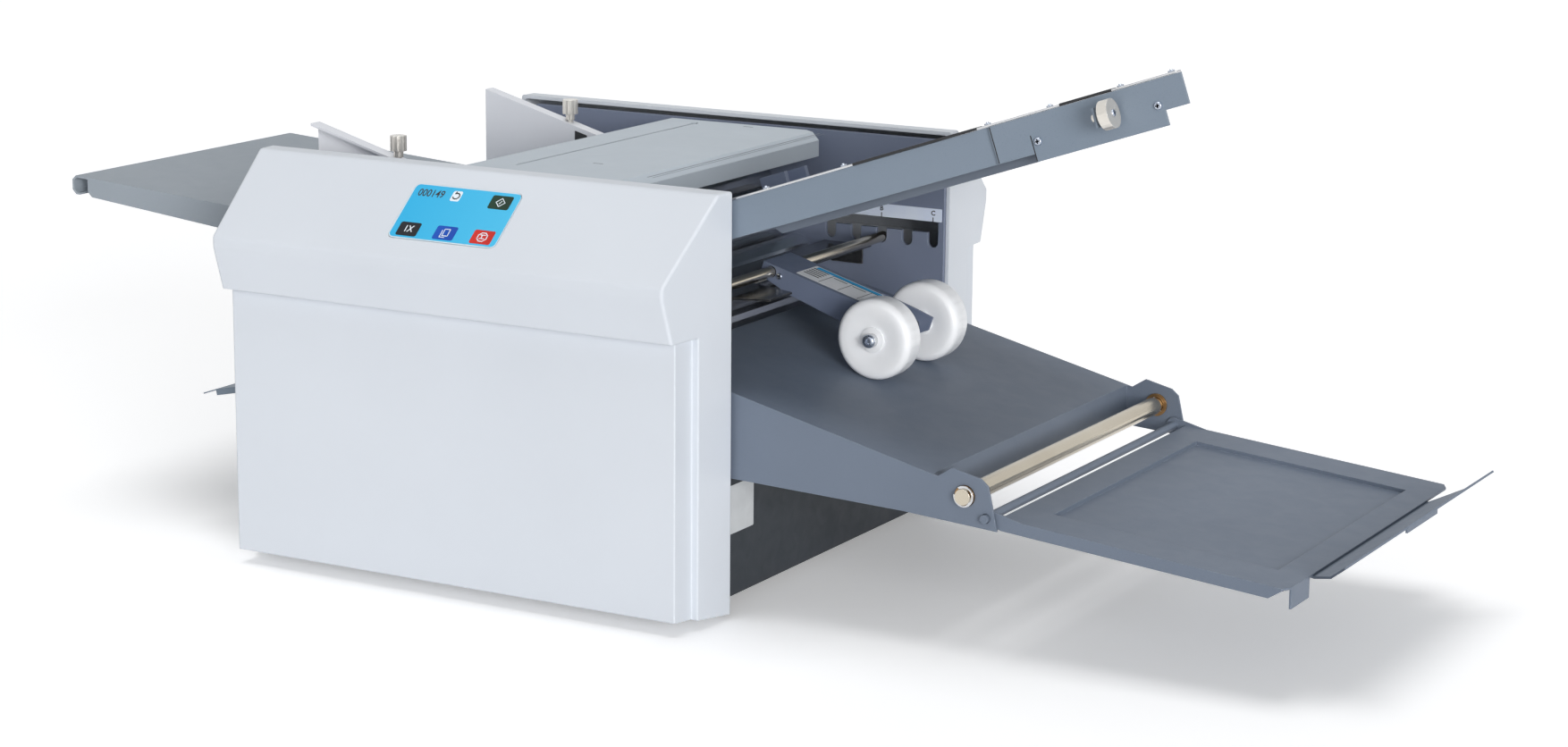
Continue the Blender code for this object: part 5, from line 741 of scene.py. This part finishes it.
def build_arm_details():
    """Chart label, side screw and end bolts of the exit wheel arm."""
    shaft = centre_of("wheel_shaft")
    axle = centre_of("wheel_axle")
    along = Vector((axle.x - shaft.x, 0.0, axle.z - shaft.z)).normalized()
    up = Vector((-along.z, 0.0, along.x))
    middle = (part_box("exit_wheel_arm")[0][1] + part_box("exit_wheel_arm")[1][1]) / 2
    (start, base), (end, summit) = ARM_STATIONS
    slope = math.atan2(summit - base, end - start)
    tilted = along * math.cos(slope) + up * math.sin(slope)
    normal = up * math.cos(slope) - along * math.sin(slope)
    place = (Vector((shaft.x, middle - ARM_LABEL_SHIFT, shaft.z))
             + along * ARM_LABEL_PLACE[0] + up * ARM_LABEL_PLACE[1])
    face = face_matrix(place, tilted, normal)
    tile("arm_label", ARM_LABEL, ARM_LABEL_CORNER, face, "label_white", "wheel_arm")
    top = face @ Matrix.Translation((0.0, 0.0, LABEL_THICKNESS))
    half_width, half_height = ARM_LABEL[0] / 2, ARM_LABEL[1] / 2
    tile("arm_label_band", (ARM_LABEL[0] - BAND_MARGIN, BAND_HEIGHT), BAND_CORNER, top, "ink_cyan",
         "wheel_arm", thickness=HAIR, offset=(BAND_SHIFT[0], half_height - BAND_SHIFT[1]))
    print_lines = dashes(PRINT_SPAN, PRINT_ROWS, PRINT_PITCH)
    strokes("arm_label_text", print_lines, 0.0014, top, "ink_black", "wheel_arm")
    cells = [line for span in CELL_SPANS for line in dashes(span, CELL_ROWS, CELL_PITCH)]
    strokes("arm_label_cells", cells, 0.0010, top, "ink_black", "wheel_arm")
    ruling = [((x, -half_height + RULING_MARGIN), (x, RULING_TOP)) for x in RULING_X]
    ruling.append(((RULING_X[0], RULING_TOP), (half_width - RULING_MARGIN, RULING_TOP)))
    strokes("arm_label_ruling", ruling, 0.0004, top, "ink_black", "wheel_arm")
    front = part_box("exit_wheel_arm")[0][1]
    place = Vector((shaft.x, front, shaft.z)) + along * ARM_SCREW_PLACE[0] - up * ARM_SCREW_PLACE[1]
    screw("arm_side_screw", place, (0, -1, 0), "wheel_arm", radius=0.0024, height=0.0012)
    for label, sign, index in (("front", -1, 0), ("rear", 1, 1)):
        face_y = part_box("wheel_axle")[index][1]
        screw("wheel_bolt_" + label, (axle.x, face_y, axle.z), (0, sign, 0), "wheel_arm",
              radius=0.0050, height=0.0026, kind="hex")


def nut(name, place, outward, body):
    """Chamfered hexagon nut on the end of a stud."""
    mesh = plate_mesh(hexagon(NUT_REACH), NUT_HEIGHT, NUT_HEIGHT * 0.18)
    stations = [(STUD_RADIUS, NUT_HEIGHT * 0.5), (STUD_RADIUS, STUD_HEIGHT - STUD_RADIUS * 0.4),
                (STUD_RADIUS * 0.6, STUD_HEIGHT)]
    turned = lathe(stations, STUD_SIDES)
    held = bpy.data.meshes.new(name + "_stud")
    turned.to_mesh(held)
    turned.free()
    mesh.from_mesh(held)
    bpy.data.meshes.remove(held)
    matrix = face_matrix(place, (0.3, 1.0, 0.2), outward)
    return add_piece(name, mesh, matrix, "zinc", body)


def fold_bar(name, ends, sides, levels, finish):
    """Straight bar lying along the upper fold plate, with softened long edges."""
    mesh = bmesh.new()
    bmesh.ops.create_cube(mesh, size=1.0)
    size = [high - low for low, high in (ends, sides, levels)]
    middle = [(high + low) / 2 for low, high in (ends, sides, levels)]
    bmesh.ops.scale(mesh, vec=size, verts=mesh.verts)
    soft_edge = min(size) * 0.22
    bmesh.ops.bevel(mesh, geom=mesh.edges[:], offset=soft_edge, segments=2, profile=0.5, affect="EDGES")
    matrix = face_matrix(fold_point(*middle), FOLD_ALONG, FOLD_UP)
    return add_piece(name, mesh, matrix, finish, "chassis")


def build_fold_plate_details():
    """Edge bar with its nuts and dark covers, and the screws of the arm, knob and latch."""
    fold_bar("edge_bar", BAR_ENDS, BAR_SIDES, BAR_LEVELS, "bright_steel")
    cover_sides = (BAR_SIDES[0] - HAIR * 2, BAR_SIDES[1] + HAIR * 2)
    cover_levels = (BAR_LEVELS[0], BAR_LEVELS[1] + HAIR * 4)
    for number, ends in enumerate(BAR_COVERS):
        fold_bar(f"edge_cover_{number + 1}", ends, cover_sides, cover_levels, "black_plastic")
    for number, along in enumerate(NUT_PLACES):
        nut(f"edge_nut_{number + 1}", fold_point(along, NUT_Y, BAR_LEVELS[1]), FOLD_UP, "chassis")
    for number, (along, height) in enumerate(BRACKET_SCREWS):
        screw(f"bracket_screw_{number + 1}", fold_point(along, BRACKET_FACE_Y, height), (0, -1, 0), "chassis",
              radius=0.0028, height=0.0016)
    arm_face = face_matrix(fold_point(0.0, BRACKET_FACE_Y, 0.0), FOLD_ALONG, (0.0, -1.0, 0.0))
    # Dark strokes by the arm's end edge and step: painted shade
    strokes("arm_edge_shade", ARM_EDGE_SHADES, 0.0007, arm_face, "ink_black", "chassis")
    low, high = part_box("stop_knob")
    knob_face = fold_point(KNOB_FACE[0], (low[1] + high[1]) / 2, KNOB_FACE[1])
    screw("knob_screw", knob_face, FOLD_ALONG, "fine_knob", radius=0.0024, height=0.0009)
    screw("latch_screw", fold_point(*LATCH_SCREW), FOLD_UP, "chassis", radius=0.0030, height=0.0020)


def build_rating_plate():
    """Bare plate on the end wall of the base pan."""
    face = face_matrix((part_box("base_pan")[1][0], *RATING_PLACE), (0.0, 1.0, 0.0), (1.0, 0.0, 0.0))
    tile("rating_plate", RATING_SIZE, RATING_CORNER, face, "plate_silver", "chassis")


def build_shaft_clips():
    """Retaining clips at the two ends of the tray roller."""
    roller = centre_of("tray_roller")
    for label, sign, node in (("front", -1, "front_roller_bushing"), ("rear", 1, "rear_roller_bushing")):
        low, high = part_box(node)
        y = low[1] if sign < 0 else high[1]
        retaining_clip("roller_clip_" + label, (roller.x, y + sign * CLIP_LIFT, roller.z), (0, sign, 0),
                       "outfeed_roller")


def build_lid_marks():
    """Two pressed marks on the top cover and the edges of its slot, drawn as strokes of painted shade."""
    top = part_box("top_cover")[1][2]
    for number, (x, y) in enumerate(LID_MARKS):
        face = face_matrix((x, y, top), (1.0, 0.0, 0.0), (0.0, 0.0, 1.0))
        strokes(f"lid_mark_shade_{number + 1}", [((-LID_MARK_HALF, 0.0), (LID_MARK_HALF, 0.0))], 0.0012, face,
                "painted_shade", "lid")
    face = face_matrix((LID_SLOT_X, 0.0, top), (1.0, 0.0, 0.0), (0.0, 0.0, 1.0))
    for name, side, width in (("far", -LID_SLOT_SIDE, 0.0009), ("near", LID_SLOT_SIDE, 0.0006)):
        strokes("lid_slot_shade_" + name, [((side, LID_SLOT_ENDS[0]), (side, LID_SLOT_ENDS[1]))], width, face,
                "painted_shade", "lid")


def build_floor():
    """Pale floor that keeps the shadow and reads white to the camera."""
    mesh = bmesh.new()
    bmesh.ops.create_grid(mesh, x_segments=1, y_segments=1, size=FLOOR_REACH)
    data = bpy.data.meshes.new("floor")
    mesh.to_mesh(data)
    mesh.free()
    floor = bpy.data.objects.new("floor", data)
    bpy.context.scene.collection.objects.link(floor)
    floor.location = (0.0, 0.0, -FLOOR_DROP)
    material = bpy.data.materials.new("floor_white")
    material.use_nodes = True
    tree = material.node_tree
    shader = tree.nodes["Principled BSDF"]
    shader.inputs["Base Color"].default_value = FLOOR_COLOUR
    shader.inputs["Roughness"].default_value = FLOOR_ROUGH
    shader.inputs["Specular IOR Level"].default_value = FLOOR_SHINE
    path = add_node(tree, "ShaderNodeLightPath")
    direct = add_node(tree, "ShaderNodeMath", operation="MAXIMUM")
    tree.links.new(path.outputs["Is Camera Ray"], direct.inputs[0])
    tree.links.new(path.outputs["Is Glossy Ray"], direct.inputs[1])
    glow = add_node(tree, "ShaderNodeEmission")
    glow.inputs["Color"].default_value = (1.0, 1.0, 1.0, 1.0)
    scaled = add_node(tree, "ShaderNodeMath", operation="MULTIPLY")
    scaled.inputs[1].default_value = FLOOR_GLOW
    tree.links.new(direct.outputs["Value"], scaled.inputs[0])
    tree.links.new(scaled.outputs["Value"], glow.inputs["Strength"])
    both = add_node(tree, "ShaderNodeAddShader")
    tree.links.new(shader.outputs["BSDF"], both.inputs[0])
    tree.links.new(glow.outputs["Emission"], both.inputs[1])
    tree.links.new(both.outputs["Shader"], tree.nodes["Material Output"].inputs["Surface"])
    data.materials.append(material)


def build_world():
    """Even pale sky light that the camera and mirrors see as white."""
    world = bpy.data.worlds.new("studio")
    bpy.context.scene.world = world
    world.use_nodes = True
    tree = world.node_tree
    background = tree.nodes["Background"]
    background.inputs["Color"].default_value = WORLD_COLOUR
    path = add_node(tree, "ShaderNodeLightPath")
    mirrored = add_node(tree, "ShaderNodeMath", operation="MULTIPLY")
    mirrored.inputs[1].default_value = WORLD_MIRROR_SHARE
    tree.links.new(path.outputs["Is Glossy Ray"], mirrored.inputs[0])
    seen = add_node(tree, "ShaderNodeMath", operation="MAXIMUM")
    tree.links.new(path.outputs["Is Camera Ray"], seen.inputs[0])
    tree.links.new(mirrored.outputs["Value"], seen.inputs[1])
    strength = spread(tree, seen.outputs["Value"], 0.0, 1.0, WORLD_STRENGTH, 1.0)
    tree.links.new(strength, background.inputs["Strength"])


def add_sun(name, direction, strength, angle):
    """Sun that shines from a direction; the angle is how wide it looks."""
    light = bpy.data.lights.new(name, "SUN")
    light.energy = strength
    light.angle = angle
    lamp = bpy.data.objects.new(name, light)
    bpy.context.scene.collection.objects.link(lamp)
    lamp.rotation_euler = Vector(direction).to_track_quat("Z", "Y").to_euler()


def build_camera():
    """Camera fitted to straight edges of the photographed machine."""
    camera = bpy.data.cameras.new("camera")
    camera.lens = CAMERA_LENS
    camera.clip_start, camera.clip_end = CAMERA_CLIP
    holder = bpy.data.objects.new("camera", camera)
    bpy.context.scene.collection.objects.link(holder)
    level = math.cos(CAMERA_PITCH)
    back = Vector((math.sin(CAMERA_TURN) * level, -math.cos(CAMERA_TURN) * level, math.sin(CAMERA_PITCH)))
    right = (-back).cross(Vector((0.0, 0.0, 1.0))).normalized()
    up = back.cross(right)
    rolled = right * math.cos(CAMERA_ROLL) + up * math.sin(CAMERA_ROLL)
    holder.matrix_world = face_matrix(CAMERA_PLACE, rolled, back)
    bpy.context.scene.camera = holder


def main():
    bpy.context.scene.view_settings.view_transform = "Standard"
    finish_nodes()
    build_screen()
    build_position_strip()
    build_arm_details()
    build_wheel_faces()
    build_fold_plate_details()
    build_rating_plate()
    build_shaft_clips()
    build_lid_marks()
    build_floor()
    build_world()
    for name, direction, strength, angle in LAMPS:
        add_sun(name, direction, strength, angle)
    build_camera()


main()
